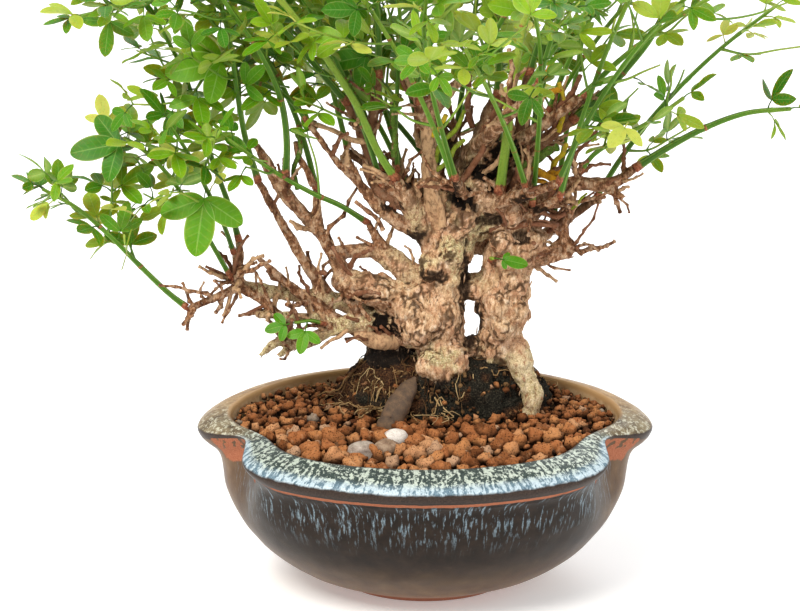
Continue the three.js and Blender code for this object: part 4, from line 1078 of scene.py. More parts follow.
@dataclass
class Soil:
    """Baked clay granules that fill the pot round the root ball."""

    pot: Pot
    ball: RootBall
    dome: float = 2.0
    # stones and a root that lie on top: across, back and radius
    covered: tuple[tuple[float, float, float], ...] = ((-14, -28, 6.2), (-30, -43, 7), (-17.5, -39, 6),
        (-19, -12, 4), (0, -31.5, 2.5), (6, -38, 2.5))
    # how far the root ball keeps granules off, how much less for small ones, and how small those are
    kept_off: float = 49.0
    crumb_gain: float = 5.0
    crumb: float = 2.2
    seed: int = 77

    def level(self, x: Array, y: Array) -> Array:
        """Height of the soil at places in plan."""
        _, length, deep, _ = self.pot.inner[0]
        return self.pot.soil_top + self.dome * (1 - (x / length) ** 2 - (y / deep) ** 2)

    def is_room(self, x: float, y: float, radius: float) -> bool:
        """Whether a granule fits between the wall, the root ball and the stones.

        Args:
            x: its place across.
            y: its place back.
            radius: its radius.

        Returns:
            True if it fits.
        """
        if radius > 1.5 and any(math.hypot(x - a, y - b) < 0.8 * r + 0.6 * radius for a, b,
                r in self.covered):
            return False
        turn = np.array([math.atan2(y / 0.79, x)])
        length, deep = self.pot.inside(turn, radius + 0.4)
        if (x / length[0]) ** 2 + (y / deep[0]) ** 2 > 1:
            return False
        dx, dy = x - self.ball.centre[0], (y - self.ball.centre[1]) / self.ball.depth_ratio
        return math.hypot(dx, dy) > self.kept_off - 0.4 * radius - self.crumb_gain * (radius < self.crumb)

    def scattered(self, dice: Chance, spacing: float, scale: float) -> Array:
        """Places of granules that just touch, largest first.

        Args:
            dice: its random numbers.
            spacing: their least distance, as a share of both radii.
            scale: what their usual size is multiplied by.

        Returns:
            Across, back and radius of each.
        """
        taken = np.empty((0, 3))
        for fit in (1.0, 0.8, 0.62, 0.45, 0.3):
            tries = dice.random((2600, 3))
            for a, b, c in tries:
                x, y = (2 * a - 1) * 93, (2 * b - 1) * 73.5
                near = 1 - ramp_up(np.array(y), -52, 30)
                radius = float((2.0 + 2.3 * near + (1.3 + 1.2 * near) * (c - 0.4)) * fit * scale)
                if not self.is_room(x, y, radius):
                    continue
                gaps = np.hypot(taken[:, 0] - x, taken[:, 1] - y) - spacing * (taken[:, 2] + radius)
                if len(gaps) and gaps.min() < 0:
                    continue
                taken = np.vstack([taken, [x, y, radius]])
        return taken

    def build(self) -> list[Piece]:
        """Makes and returns the soil: a bed painted near black as the shade in the gaps, with two layers of
        granules on it.
        """
        dice = np.random.default_rng(self.seed)
        skin = Skin("tone", "dark")
        self.lay_bed(skin)
        small, coarse, fine = chunk(1), chunk(2), chunk(3)
        under = self.scattered(dice, 0.9, 0.9)
        upper = self.scattered(dice, 0.84, 1.0)
        for layer, places in enumerate((under, upper)):
            for x, y, radius in places:
                ball, faces = fine if layer and y < 5 and radius > 3.2 else coarse
                if radius < 1.5 or layer == 0:
                    ball, faces = small
                shape = chipped(ball, dice, 9, 0.5)
                rough = noise_at(shape + dice.uniform(0, 50, 3), 0.75, 3)
                shape = shape * (1 + 0.5 * rough)[:, None] * dice.uniform([0.9, 0.8, 0.72],
                    [1.15, 1.05, 0.95])
                shape = turned(shape, dice) * radius * 1.08
                drop = 4.2 if layer == 0 else dice.uniform(-0.9, 1.5)
                mound = float(self.ball.top(x, y)) if radius < self.crumb else 0.0
                ground = max(float(self.level(x, y)), mound)
                up = ground - drop + 0.2 * radius
                tone = np.clip(0.5 + 0.25 * dice.normal() + 0.16 * (y < -20), 0, 0.96)
                if dice.random() < 0.02:
                    tone = 1.0
                back = float(ramp_up(np.array(y), -30, 20))
                # painted shade: the lower layer, which shows only in the gaps, is dark and each granule
                # darkens towards its underside; some granules towards the back are darker too
                dark = (0.8 if layer == 0 else 0.0) + 0.45 * back * dice.random()
                shadow = dark + 0.95 * ramp_up(-shape[:, 2] / radius, -0.62, 0.2)
                skin.add(shape + [x, y, up], faces, tone=tone, dark=np.clip(shadow, 0, 1))
        return [skin.piece("clay_granules", CLAY, "soil")]

    def lay_bed(self, skin: Skin) -> None:
        """Lays the closed bed that the granules are sunk in, painted near black as shade."""
        sides = 96
        turn = turns_round(sides, 0)
        rings = []
        for up, length, deep, dent in reversed(self.pot.inner):
            pinch = 1 - dent * self.pot.notch(turn, np.full(sides, 1.0))
            height = max(up, 8.5) if up < self.pot.soil_top else self.pot.soil_top - 4.5
            x, y = (length - 0.8) * pinch * np.cos(turn), (deep - 0.8) * pinch * np.sin(turn)
            rings.append(np.stack([x, y, np.full(sides, height)], 1))
        for share in (0.7, 0.35):
            ring = rings[3] * [share, share, 1]
            ring[:, 2] = self.level(ring[:, 0], ring[:, 1]) - 4.5
            rings.append(ring)
        points = np.vstack([*rings, [0, 0, 8.5], [0, 0, float(self.level(0, 0)) - 4.5]])
        # painted shade: the bed is near black, as the shade in the gaps between granules
        skin.add(points, closed_rings(len(rings), sides), tone=0.2, dark=1.0)


@dataclass
class LooseStones:
    """The pebbles, the leaning slab and the loose root on the soil."""

    # node: place as the front view shows it, half sizes, finish
    pebbles: dict[str, tuple[tuple[float, ...], tuple[float, ...],
        Finish]] = field(default_factory=lambda: {"pebble_white": ((-14, -28, 71.5), (6.3, 4.8, 4.5),
        WHITE_STONE), "pebble_grey": ((-30, -43, 64), (7.9, 6.1, 5.5), GREY_STONE),
        "pebble_brown": ((-17.5, -39, 66), (7.0, 5.5, 5.1), BROWN_STONE)})
    slab: tuple[tuple[float, ...], ...] = ((-19.3, -12.3, 71, 2.6), (-19, -12, 73, 4.2),
        (-15.5, -9, 82, 5.5), (-10.5, -4, 92, 5.2), (-6.5, 0.5, 99, 3.2), (-5, 2, 102, 0.9))
    loose_root: tuple[tuple[float, ...], ...] = ((-4, -29, 72.5, 1.0), (0, -31.5, 71.5, 1.25),
        (5, -37, 69, 1.15), (9, -42, 66.5, 0.9))
    seed: int = 5

    def build(self) -> list[Piece]:
        """Makes and returns the five loose pieces."""
        dice = np.random.default_rng(self.seed)
        made = []
        ball, faces = chunk(4)
        for node, (place, size, finish) in self.pebbles.items():
            shape = chipped(ball, dice, 7, 0.3)
            shape = shape * (1 + 0.05 * noise_at(shape + len(made) * 9, 0.7, 3))[:, None] * size
            skin = Skin()
            skin.add(shape + seen(*place), faces)
            made.append(skin.piece("stone_" + node.split("_")[1], finish, node))
        for name, node, rows, sides, flat, finish in (("leaning_slab", "slab", self.slab, 40, 0.72, SLATE),
                ("bare_root", "loose_root", self.loose_root, 14, 1.0, ROOT)):
            dense, _ = smooth_run(placed(rows), 0.6)
            wobble = 1 + 0.08 * noise_at(dense[:, :3], 3.0, 2)
            turns = turns_round(sides)
            profile = np.hypot(np.cos(turns) * flat, np.sin(turns)) * (1 + 0.04 * np.sin(3 * turns))
            skin = Skin()
            skin.tube(dense[:, :3], np.maximum(dense[:, 3], 0.5) * wobble, sides, profile, blunt=0.8)
            made.append(skin.piece(name, finish, node))
        return made


# The plant's plan, which the solids were made from


@dataclass
class Limb:
    """A stem of old wood: its middle line and its radius at each point."""

    points: Array
    radii: Array

    def balls(self) -> Array:
        """Balls that stand for it."""
        spans = [(self.points[i : i + 2], *self.radii[i : i + 2]) for i in range(len(self.radii) - 1)]
        return np.vstack([balls_along(*span) for span in spans])


@dataclass
class Leaf:
    """One leaf of three leaflets: where it joins its stem, the way it points and the way its face looks."""

    root: Array
    way: Array
    normal: Array
    size: float
    large: bool = False
    span: int = 0
    face: int = 0


@dataclass
class Shoot:
    """A green shoot with its leaves."""

    name: str
    points: Array
    root_radius: float
    tip_radius: float
    root_way: Array | None = None
    leaves: list[Leaf] = field(default_factory=list)

    def balls(self) -> Array:
        """Balls that stand for its stem."""
        return balls_along(self.points, self.root_radius, self.tip_radius)

    def rings(self) -> Array:
        """The four corners of its stem at each point."""
        share = np.arange(len(self.points)) / (len(self.points) - 1)
        radii = self.root_radius + (self.tip_radius - self.root_radius) * share
        return rings_round(self.points, self.root_way, radii[:, None], 4)


BALL_PITCH = 3.0


def balls_along(points: Array, root_radius: float, tip_radius: float) -> Array:
    """Balls along a stem that stand for it when pieces are kept apart.

    Args:
        points: its middle line.
        root_radius: its radius at the first point.
        tip_radius: its radius at the last.

    Returns:
        Centre and radius of each.
    """
    spans = len(points) - 1
    rows = []
    for i in range(spans):
        count = max(1, math.ceil(float(np.linalg.norm(points[i + 1] - points[i])) / BALL_PITCH))
        for k in range(count):
            t = (i + k / count) / spans
            centre = points[i] + (points[i + 1] - points[i]) * (k / count)
            rows.append([*centre, root_radius + (tip_radius - root_radius) * t])
    rows.append([*points[-1], tip_radius])
    return np.array(rows)


def is_clear(balls: Array, others: Array, gap: float) -> bool:
    """Whether two sets of balls stay apart.

    Args:
        balls: the one set.
        others: the other set.
        gap: their least distance.

    Returns:
        True if all of them do.
    """
    if not len(balls) or not len(others):
        return True
    apart = balls[:, None, :3] - others[None, :, :3]
    reach = balls[:, None, 3] + others[None, :, 3] + gap
    return bool((np.einsum("ijk,ijk->ij", apart, apart) > reach * reach).all())


Run = list[list[float]]


def lines_in(table: str) -> list[str]:
    """The lines of a table, without remarks; a line that ends in a comma goes on in the next."""
    return [line for line in table.strip().replace(",\n", ", ").splitlines() if line[0] != "#"]


def run_of(line: str) -> Run:
    """The points in a line, set apart by commas."""
    return [[float(word) for word in point.split()] for point in line.split(",")]


def runs_of(table: str) -> list[Run]:
    """The runs of points in a table, one a line."""
    return [run_of(line) for line in lines_in(table)]


def shoots_of(table: str) -> dict[str, tuple[list[float], Run]]:
    """The shoots in a table, one a line: a name, three numbers and a run of points for each."""
    parted = [line.partition(":") for line in lines_in(table)]
    heads = [head.split() for head, _, _ in parted]
    runs = [run_of(points) for _, _, points in parted]
    return {"shoot_" + name: (list(map(float, numbers)), run) for (name, *numbers), run in zip(heads, runs)}


# Across, depth and up as the front view shows them, and the radius
TRUNK_ROWS = runs_of("""
# left trunk, right trunk, bare root into the soil, stump behind
9 18 84 11, 9 18 100 13, 8 18 112 12.8, 8 18 121 10.4, 7 18 133 11.6, 8 18 148 10.2, 10 18 163 10.2,
14 18 178 11, 20 19 195 10.6, 26 21 214 8, 33 22 240 3
33 24 94 8, 33 23 110 9, 35 22 121 10.6, 37 22 134 12.4, 37 22 147 12.4, 39 22 160 11.8, 43 21 176 10,
46 21 195 7.4, 44 22 209 5.4, 45 22 225 3.8, 48 22 251 2.3
39 21 124 6.4, 45 16 114 6, 47 14 105 5.4, 51 11 96 5.4, 51 9 86 4.8, 47 10 74 3
-12 24 86 9.4, -15 23 104 11, -18 23 120 10.6, -16 24 135 9, -2 21 148 8
""")

LIMB_ROWS = runs_of("""
# burl, shoulder between the trunks and the old mass above it
2 15 121 5.4, -6 12 127 9, -6 12 139 7
8 20 146 8, 20 21 148 6.6, 34 22 148 9
12 20 176 9, 28 21 184 10.5, 46 21 188 9
16 20 202 8.4, 31 21 203 7.4, 45 21 204 5.4
# cut stub on the right trunk, and a flake of broken wood by the stump
42 19 173 6.8, 54 11 171 5.4
-14 15 121 4, -23 11 121 4.2, -33 9 123.5 1.8
# thick cut-back limb to the left, its lower layer and its stub
-2 18 146 8, -14 17 144.5 6.8, -27 15 149 6, -38 14 151.5 4.8
-8 16 134 5, -24 13 141.5 4.2, -41 12 150 2.8
-40 13 149.5 2.8, -32 10 135 2.6
# rising stem on that limb, and its rough fork
-37 14 152 4.4, -43 14 162 3.2, -50 15 177 2.6, -51.5 17 196 2
-49 15 173 2.8, -57 13 183 3, -66 10 194 3.4, -79 8 217 2
# limb that runs level to the left, its riser and the pale stub above it
0 18 152 6, -9 18 156 5.2, -20 20 164 4.6, -43 16 166 2.6
-18 20 163 3.4, -27 18 179.5 1.8
2 17 172 5, -13 14 180 3.6, -27 9 193 2.8, -37 7 211 1.9
-30 8 197 2, -42 6 210 1.7, -54.5 4 227.5 1.4
# limb under the long bright shoot, and the reddish riser beside it
5 17 166 6, -4 12 182 4.8, -10 8 195 4, -14 5 201 2.2
-6 13 186 4, -26 15 202 3, -25 16 226 2.7, -22 16 250 2.1
-26 15 212 2.4, -36 13 237 2.2
# pale limb up the middle, its knot and two forks
11 16 176 6, 4 12 190 4.4, 2 11 212 3.8, 1 12 234 4.2
1 12 231 3.4, 17 15 250 1.9
0 12 232 3, -11 13 254 1.6
# collar of the pale thick shoot
30 17 184 6, 35 7 195 2.9
# long limb to the right, its stub and a level twig
44 20 177 6.4, 56 15 192 3.8, 66 13 198 3.6, 90 11 200 2.8, 98 11 206 2.1
83 11 198 2.6, 93 8 192 1.4
45 17 184 3.2, 67 10 190 1.6
# low limb to the right with its riser and two green stubs
40 18 160 6.6, 50 15 161 4, 68.5 11 165 3.2
67 11 164 2.6, 66 11 178 2.2, 71 11 190.5 1.4
66 11 172 1.8, 54 8 163 1.5
66 11 173 1.7, 74 8 164 1.4
# limb to the upper right and its dead twig
44 21 205 4.6, 53 18 218 3.2, 68 15 229 2.1
61 17 223 2, 71 14 249 1.3
# pale low branch to the left with its curled ends
-15 19 130 7, -35 11 130 4.6, -48 9 125 3.2, -60 7 119 2.8, -70 5 120.5 2.2, -79 3 113.5 1.3
-61 7 119 2.2, -70 4 113.5 1.4
-61 7 119 2.6, -67 8 129 2.5, -77 8 140.5 2.4, -90 7 149 2.4
-88 7 148 2.2, -112.5 4 137 1.6
# mossy limb behind it, with the stems that rise from it
-17 23 130 6.8, -42 18 141 4.4, -65 14 144 3.4, -89 9 149 2.4
-46 18 142 3.8, -57 17 160 2.6, -78.5 10 199.5 1.8
-40 12 130 3, -60 9.5 145 2.5, -80 6 163 1.4
-44 11 132 2.5, -80 4 134 1.8
# spurs at the far end of the low branches
-89 8 148 2.4, -90.5 8 164 1.5
-88 9 149 2.4, -88 14 170 1.6
-89 7 149 2.2, -92 3 152 1.5
# spurs under single shoots
-67 10 195 2.8, -65.8 8.3 201.8 1.9
-9 11 193 3, -13 13 204 1.5
2 12 229 3, 4 19 238 1.8
-1 11 231 3, -3 7 238 1.9
70 12 197 2.6, 72 11 204 1.5
34 18 158 2.4, 31 9 161 1.3
-44 9 127 2.4, -47 5 129 1
""")

# Radius at the root and at the tip, share of the length that is bare, and rows of across, depth and up
SHOOT_ROWS = shoots_of("""
long_bright 2.1 1.4 0.92: -14 5 201, -21 2 212, -34 -5 240, -46 -9 259, -60 -12 278, -76 -14 297,
-93 -13 316
riser 2 1.2 0.3: -22 16 250, -22 16 268, -24 14 292, -30 13 316, -42 11 342
fork 1.8 1.1 0.2: 17 15 250, 26 16 262, 36 18 279, 44 20 297, 55 22 320
knot_front 1.9 1.1 0.5: -3 7 238, -3 6 258, -5 7 284, -9 6 312, -15 5 342
knot_back 1.6 1 0.3: 4 19 238, 7 22 254, 12 22 276, 17 23 300, 23 25 324
pale 2.6 1.6 0.86: 35 7 195, 37.5 3 217, 40 -1 241, 44 -4 268, 49 -6 293, 56 -8 320
right_high 2 1.2 0.35: 68 15 229, 80 13 240, 94 11 255, 105 10 270, 113 8 290, 120 8 320
right_long 2 1.1 0.9: 98 11 206, 113 9 216, 131 7 226, 150 5 233, 170 4 235
low_left 1.6 0.9 0.35: -112.5 4 137, -120 3 143, -135 1 158, -150 0 174, -166 0 188, -180 0 196
left_riser 1.7 1.1 0.4: -78.5 10 199.5, -84 8 219, -88 6 244, -91 4 268, -98 2 296
left_arch 1.9 1.1 0.6: -65.8 8.3 201.8, -65 7 217, -68 2 241, -77 -5 262, -91 -12 283, -106 -18 308
left_back 1.6 1 0.3: -88 14 170, -92 15 186, -99 16 207, -106 15 230, -112 14 251, -123 12 274
left_leafy 1.3 0.9 0.45: -90.5 8 164, -95 3 178, -103 -6 196, -110 -8 211, -120 -8 228
left_front 1.3 0.9 0.5: -92 3 152, -101 6 169, -113 6 191, -126 1 209, -136 -3 218, -141 -4 221
level_left 1.5 0.9 0.35: -27 18 179.5, -40 11 188, -53 4 194, -70 -5 204, -92 -12 220
rising_left 1.6 1 0.4: -51.5 17 196, -55 18 212, -61 19 232, -71 19 254, -88 18 277, -108 16 292
wide_arch 1.9 1.1 0.5: -36 13 237, -45 13 248, -58 13 264, -75 12 281, -99 10 289, -128 7 286, -160 4 279
top_right 1.8 1.1 0.35: 48 22 251, 53 24 268, 64 26 287, 80 29 306, 98 32 326
top 1.8 1.1 0.35: 33 22 240, 34 24 258, 31 26 282, 27 28 308, 23 32 338
centre 1.3 0.9 0.3: -13 13 204, -14 15 224, -13 17 250, -12 19 278, -16 22 306
thin_left 1.2 0.8 0.3: -54.5 4 227.5, -64 9 240, -80 9 248, -99 6 251, -118 3 250
right_leafy 1.3 0.9 0.2: 72 11 204, 79 7 213, 91 2 221, 105 -3 229, 120 -6 240
on_trunk 1.1 0.8 1: 31 9 161, 31 6 162, 32 3 162
low_twig 0.9 0.7 1: -47 5 129, -54 1 131, -62 -3 130
""")

# Leaves that the front view shows large: span, share of it, the way it points, length of the middle leaflet
LARGE_LEAVES: dict[str, list[tuple[int, float, tuple[float, float, float], float]]] = {
    "shoot_left_leafy": [(2, 0.05, (-0.15, -0.5, -0.85), 27)],
    "shoot_left_front": [(4, 0.5, (-0.98, -0.1, -0.15), 23)],
    "shoot_left_riser": [(2, 0.6, (-0.95, -0.3, -0.1), 26)],
    "shoot_riser": [(0, 0.6, (-0.95, -0.3, -0.1), 19)],
    "shoot_fork": [(0, 0.7, (0.6, -0.75, 0.25), 14)],
    "shoot_on_trunk": [(1, 0.5, (0.96, -0.25, -0.1), 12)],
    "shoot_low_twig": [(1, 0.3, (-0.2, -0.6, -0.75), 11), (2, 0.5, (-0.95, -0.1, -0.2), 10)],
}


@dataclass
class Plan:
    """The plant as plain data, worked out just as it was for the solids."""

    crown_axis: tuple[float, float] = (22.0, 22.0)
    petiole: float = 5.0
    side_leaflet: float = 0.8
    side_spread: float = math.radians(64)
    leaf_sizes: tuple[float, float] = (11.0, 17.0)
    leaf_gap: float = 0.9
    stem_gap: float = 2.5
    stalk_lean: float = 0.5
    ruled_limbs: int = 13
    front_lift: float = 42.0
    front_rise: float = 0.36
    ruled_radii: tuple[float, float] = (1.5, 0.9)
    golden: float = 0.618
    crown_top: float = 335.0
    leaves_per_shoot: int = 3
    leaflet_balls: tuple[tuple[float, float], ...] = ((0.22, 0.13), (0.5, 0.24), (0.82, 0.17))
    limbs: list[Limb] = field(default_factory=list)
    shoots: dict[str, Shoot] = field(default_factory=dict)
    taken: Array = field(default_factory=lambda: np.empty((0, 4)))

    def lay_out(self) -> None:
        """Works out the limbs, the shoots and the leaves that the solids have."""
        for rows in [*TRUNK_ROWS, *LIMB_ROWS]:
            control = placed(rows)
            self.limbs.append(Limb(control[:, :3], control[:, 3]))
        for name, ((root_radius, tip_radius, _), rows) in SHOOT_ROWS.items():
            points = np.array([seen(*row) for row in rows])
            self.shoots[name] = Shoot(name, points, root_radius, tip_radius)
        roots = self.add_ruled_limbs()
        wood = np.vstack([limb.balls() for limb in self.limbs])
        self.add_ruled_shoots(roots, wood)
        self.taken = wood
        for shoot in self.shoots.values():
            spur = next(l for l in self.limbs if np.linalg.norm(l.points[-1] - shoot.points[0]) < 0.01)
            shoot.root_way = unit(spur.points[-1] - spur.points[-2])
            shoot.leaves = self.large_leaves(shoot)
            self.take(shoot.leaves)
        stems = {name: shoot.balls() for name, shoot in self.shoots.items()}
        for index, (name, shoot) in enumerate(self.shoots.items()):
            if len(shoot.points) < 4:
                continue
            others = np.vstack([balls for other, balls in stems.items() if other != name])
            leaves = self.small_leaves(shoot, index, np.vstack([self.taken, others]))
            shoot.leaves += leaves
            self.take(leaves)

    def take(self, leaves: Iterable[Leaf]) -> None:
        """Marks the room of leaves as taken."""
        self.taken = np.vstack([self.taken, *[self.leaf_balls(leaf) for leaf in leaves]])

    def add_ruled_limbs(self) -> list[tuple[Array, float, float]]:
        """Adds the limbs to the sides that the rows leave open, each with a spur.

        Returns:
            For each end that bears a shoot, its place, its bearing and how steep the shoot is.
        """
        roots = []
        for i in range(self.ruled_limbs):
            dice = Dice(430 + i)
            bearing = math.radians(-104) + i * math.radians(25) + 0.2 * (dice.draw() - 0.5)
            low = 140 + 48 * ((i * self.golden) % 1) + self.front_lift * max(0.0, -math.sin(bearing))
            reach = 40 + 24 * dice.draw()
            rise = 0.35 + 0.6 * dice.draw()
            bend = 0.7 * (dice.draw() - 0.5)
            shares = np.array([0.12, 0.5, 1.0])
            turn = bearing + bend * shares
            out = reach * shares
            x, y = self.crown_axis[0] + out * np.cos(turn), self.crown_axis[1] + out * np.sin(turn)
            points = np.stack([x, y, low + rise * reach * shares**1.3], 1)
            heading = bearing + bend
            fork = points[1] + (points[2] - points[1]) * 0.3
            sideways = heading + (0.9 if i % 2 else -0.9)
            spur = fork + np.array([4 * math.cos(sideways), 4 * math.sin(sideways), 5.0])
            self.limbs.append(Limb(points, 4.6 - 2.5 * shares))
            self.limbs.append(Limb(np.array([fork, spur]), np.array([2.4, self.ruled_radii[0]])))
            roots.append((points[2], heading, (i * self.golden + 0.2) % 1))
            roots.append((spur, sideways, (i * self.golden + 0.65) % 1))
        return roots

    def ruled_points(self, root: Array, bearing: float, steep: float, dice: Dice) -> Array:
        """The run of points of one ruled shoot.

        Args:
            root: where it starts.
            bearing: the way it leaves.
            steep: from 0, arching out, to 1, upright.
            dice: its random numbers.

        Returns:
            Five points.
        """
        reach = (1 - steep) * 95 + 34 + 26 * dice.draw()
        height = min(42 + steep * 95 + 22 * dice.draw(), self.crown_top - root[2] - 12)
        curl = 0.5 * (dice.draw() - 0.5)
        points = []
        for t in (0, 0.2, 0.45, 0.72, 1):
            way = bearing + curl * t
            out = reach * t * (0.72 + 0.28 * t)
            across, back = out * math.cos(way), out * math.sin(way) * 0.85
            up = root[2] + height * (1.32 * t - 0.32 * t * t) - self.front_rise * min(0.0, back)
            points.append([root[0] + across * (0.72 if across > 0 else 1), root[1] + back,
                min(up, self.crown_top)])
        return np.array(points)

    def add_ruled_shoots(self, roots: list[tuple[Array, float, float]], wood: Array) -> None:
        """Adds one shoot for each root, on the first of its tries that stays clear of all else."""
        stems = np.vstack([shoot.balls() for shoot in self.shoots.values()])
        for n, (root, bearing, steep) in enumerate(roots):
            for attempt in range(24):
                dice = Dice(800 + 50 * n + attempt)
                heading = bearing + (0.7 + 0.05 * attempt) * (dice.draw() - 0.5)
                points = self.ruled_points(root, heading, (steep + 0.3 * attempt * self.golden) % 1, dice)
                balls = balls_along(points, *self.ruled_radii)
                free = balls[np.linalg.norm(balls[:, :3] - root, axis=1) > 7]
                if not is_clear(free, wood, self.leaf_gap) or not is_clear(balls, stems, self.stem_gap):
                    continue
                name = f"shoot_{n + 1:02d}"
                self.shoots[name] = Shoot(name, points, *self.ruled_radii)
                stems = np.vstack([stems, balls])
                break

    @staticmethod
    def leaf_normal(way: Array, to_front: bool) -> Array:
        """The way that a leaf's face looks: up and out, or to the front for the large leaves."""
        wish = np.array([0, -0.8, 0.6]) if to_front else np.array([0, -0.25, 0.97])
        return unit(wish - way * (wish @ way))

    def leaflets(self, beside: float) -> list[tuple[float, float]]:
        """Turn and share of the size of three leaflets, for the share of the two beside the middle one."""
        return [(-self.side_spread, beside), (0.0, 1.0), (self.side_spread, beside)]

    def leaf_balls(self, leaf: Leaf) -> Array:
        """Balls that stand for a leaf when pieces are kept apart."""
        side = np.cross(leaf.normal, leaf.way)
        rows = []
        for turn, share in self.leaflets(self.side_leaflet):
            for along, radius in self.leaflet_balls:
                out = along * share * leaf.size
                centre = leaf.root + leaf.way * (self.petiole + out * math.cos(turn))
                centre = centre + side * (out * math.sin(turn)) - leaf.normal * (0.1 * leaf.size * along
                    * along)
                rows.append([*centre, radius * share * leaf.size])
        return np.array(rows)

    @staticmethod
    def stem_face(rings: Array, span: int, face: int, share: float) -> tuple[Array, Array]:
        """One face of a stem at one place.

        Args:
            rings: the corners of the stem.
            span: the span of the stem.
            face: the face.
            share: the share of the span.

        Returns:
            Its middle and its outward way there.
        """
        other = (face + 1) % 4
        left = rings[span][face] + (rings[span + 1][face] - rings[span][face]) * share
        right = rings[span][other] + (rings[span + 1][other] - rings[span][other]) * share
        up = unit(rings[span + 1][face] - rings[span][face])
        return (left + right) / 2, unit(np.cross(right - left, up))

    def leaf_on(self, shoot: Shoot, rings: Array, span: int, face: int, share: float, wish: Array | None,
            size: float) -> Leaf:
        """A leaf on one face of a stem, or on its tip where the span is past the last.

        Args:
            shoot: the shoot that bears it.
            rings: the corners of its stem.
            span: the span of the stem.
            face: the face of the stem.
            share: the share of that span.
            wish: the way it points, for a large leaf.
            size: the length of its middle leaflet.

        Returns:
            The leaf.
        """
        last = len(rings) - 1
        along = unit(shoot.points[min(span + 1, last)] - shoot.points[min(span, last - 1)])
        if span == last:
            root, way = shoot.points[span], along
        else:
            root, outward = self.stem_face(rings, span, face, share)
            way = unit(outward + along * self.stalk_lean)
        if wish is not None:
            way = wish
        large = wish is not None
        return Leaf(root, way, self.leaf_normal(way, large), size, large, span, face)

    def large_leaves(self, shoot: Shoot) -> list[Leaf]:
        """The large leaves of one shoot, on the face that looks their way."""
        rings = shoot.rings()
        leaves = []
        for span, share, way, size in LARGE_LEAVES.get(shoot.name, []):
            wish = unit(np.array(way))
            face = 0
            if span < len(rings) - 1:
                face = max(range(4), key=lambda f: float(self.stem_face(rings, span, f, share)[1] @ wish))
            leaves.append(self.leaf_on(shoot, rings, span, face, share, wish, size))
        return leaves

    def small_leaves(self, shoot: Shoot, index: int, taken: Array) -> list[Leaf]:
        """The other leaves of one shoot that the solids have, in opposite pairs and one on the tip.

        Args:
            shoot: the shoot.
            index: its number.
            taken: balls of all that is in the way.

        Returns:
            The leaves.
        """
        rings = shoot.rings()
        spans = len(rings) - 1
        leaves: list[Leaf] = []
        for n in range(self.leaves_per_shoot):
            dice = Dice(5000 + 61 * index + n)
            span = spans if n == 0 else max(1, spans - 1 - (n - 1) // 2)
            face = (2 * ((n - 1) % 2) + span + index) % 4
            size = self.leaf_sizes[0] + (self.leaf_sizes[1] - self.leaf_sizes[0]) * dice.draw()
            own = [*shoot.leaves, *leaves]
            if any(leaf.span == span and leaf.face == face for leaf in own):
                continue
            near = np.vstack([taken, *[self.leaf_balls(leaf) for leaf in own]])
            tries = ((part, share) for part in (1.0, 0.75) for share in (0.5, 0.3, 0.7))
            for part, share in tries:
                leaf = self.leaf_on(shoot, rings, span, face, share, None, size * part)
                if is_clear(self.leaf_balls(leaf), near, self.leaf_gap):
                    leaves.append(leaf)
                    break
        return leaves


# Wood


class Stub(Enum):
    """What a cut stub or stick on the old wood looks like."""

    RED = 0.06
    PALE = 0.34
    ORANGE = 0.62
    YELLOW = 0.85
    LIME = 1.0
    GREEN = -1.0
    BARK = 0.0


def stubs_of(table: str) -> list[tuple[list[float], Stub]]:
    """The stubs in a table, one a line: eight numbers and a look."""
    words = [line.split() for line in lines_in(table)]
    return [(list(map(float, numbers)), Stub[look]) for *numbers, look in words]


# Across and up of both ends as the front view shows them, depth of both, radius of both, and the look
STUB_ROWS = stubs_of("""
3 222 9.5 232 9 5 1.5 1.3 YELLOW
4 206 18 234 10 6 1.5 1.2 LIME
5 205 18 220 9 4 1.4 1.2 LIME
48 205 62 200.5 10 3 2.4 1.9 ORANGE
44 203 61 196 12 6 1.6 1.2 ORANGE
52 246 59 257 17 8 1.8 1.5 ORANGE
53 241 63 244.5 17 6 1.9 1.6 ORANGE
59 204 66 218 13 8 1.5 1.3 YELLOW
44 207 62 216.5 12 2 2.6 2.3 GREEN
62 224 62 247 14 5 1.6 1.3 YELLOW
60 204 71 214 15 9 1.6 1.2 RED
60 226 72 251 16 6 1.6 1.1 RED
22 226 20 251 18 14 1.8 1.5 RED
26 222 37 240 15 4 2.3 1.7 RED
-4 230 -11 255 12 11 1.7 1.3 RED
17 200 28 226 10 4 1.9 1.6 RED
-56 229 -27 219 5 9 1.3 1.5 PALE
-61 219 -53 198 11 13 1.5 2.2 BARK
-15 212 -12 242 6 4 2 1.6 GREEN
-60 196 -60.5 224 12 9 1.5 1.4 GREEN
68 186 76 194 10 6 0.8 0.6 LIME
65 174 53 181 11 6 0.8 0.5 RED
-39 152 -26 131 10 6 1.6 1.2 BARK
36 188 44 208 12 8 2 1.5 RED
40 196 52 214 14 8 1.8 1.4 PALE
8 178 1 208 8 5 2.2 1.6 PALE
30 176 62 178 12 8 1.9 1.4 RED
46 184 66 184 12 7 1.7 1.2 RED
-20 176 -33 190 12 7 1.5 1.1 BARK
-30 150 -44 168 12 7 1.4 1 RED
-48 126 -62 134 8 3 1.2 0.8 PALE
-36 128 -50 117 8 4 1.3 0.9 PALE
-92 150 -104 158 7 3 1.3 0.9 RED
-75 139 -86 134 7 3 1.2 0.8 RED
27 204 36 214 12 4 1.8 1.5 PALE
45 214 61 225 14 4 1.2 0.8 PALE
47 216 49 240 14 5 1.2 0.9 PALE
64 204 83 229 12 3 1.3 0.8 RED
56 202 66 206 12 3 1.6 1.3 ORANGE
""")


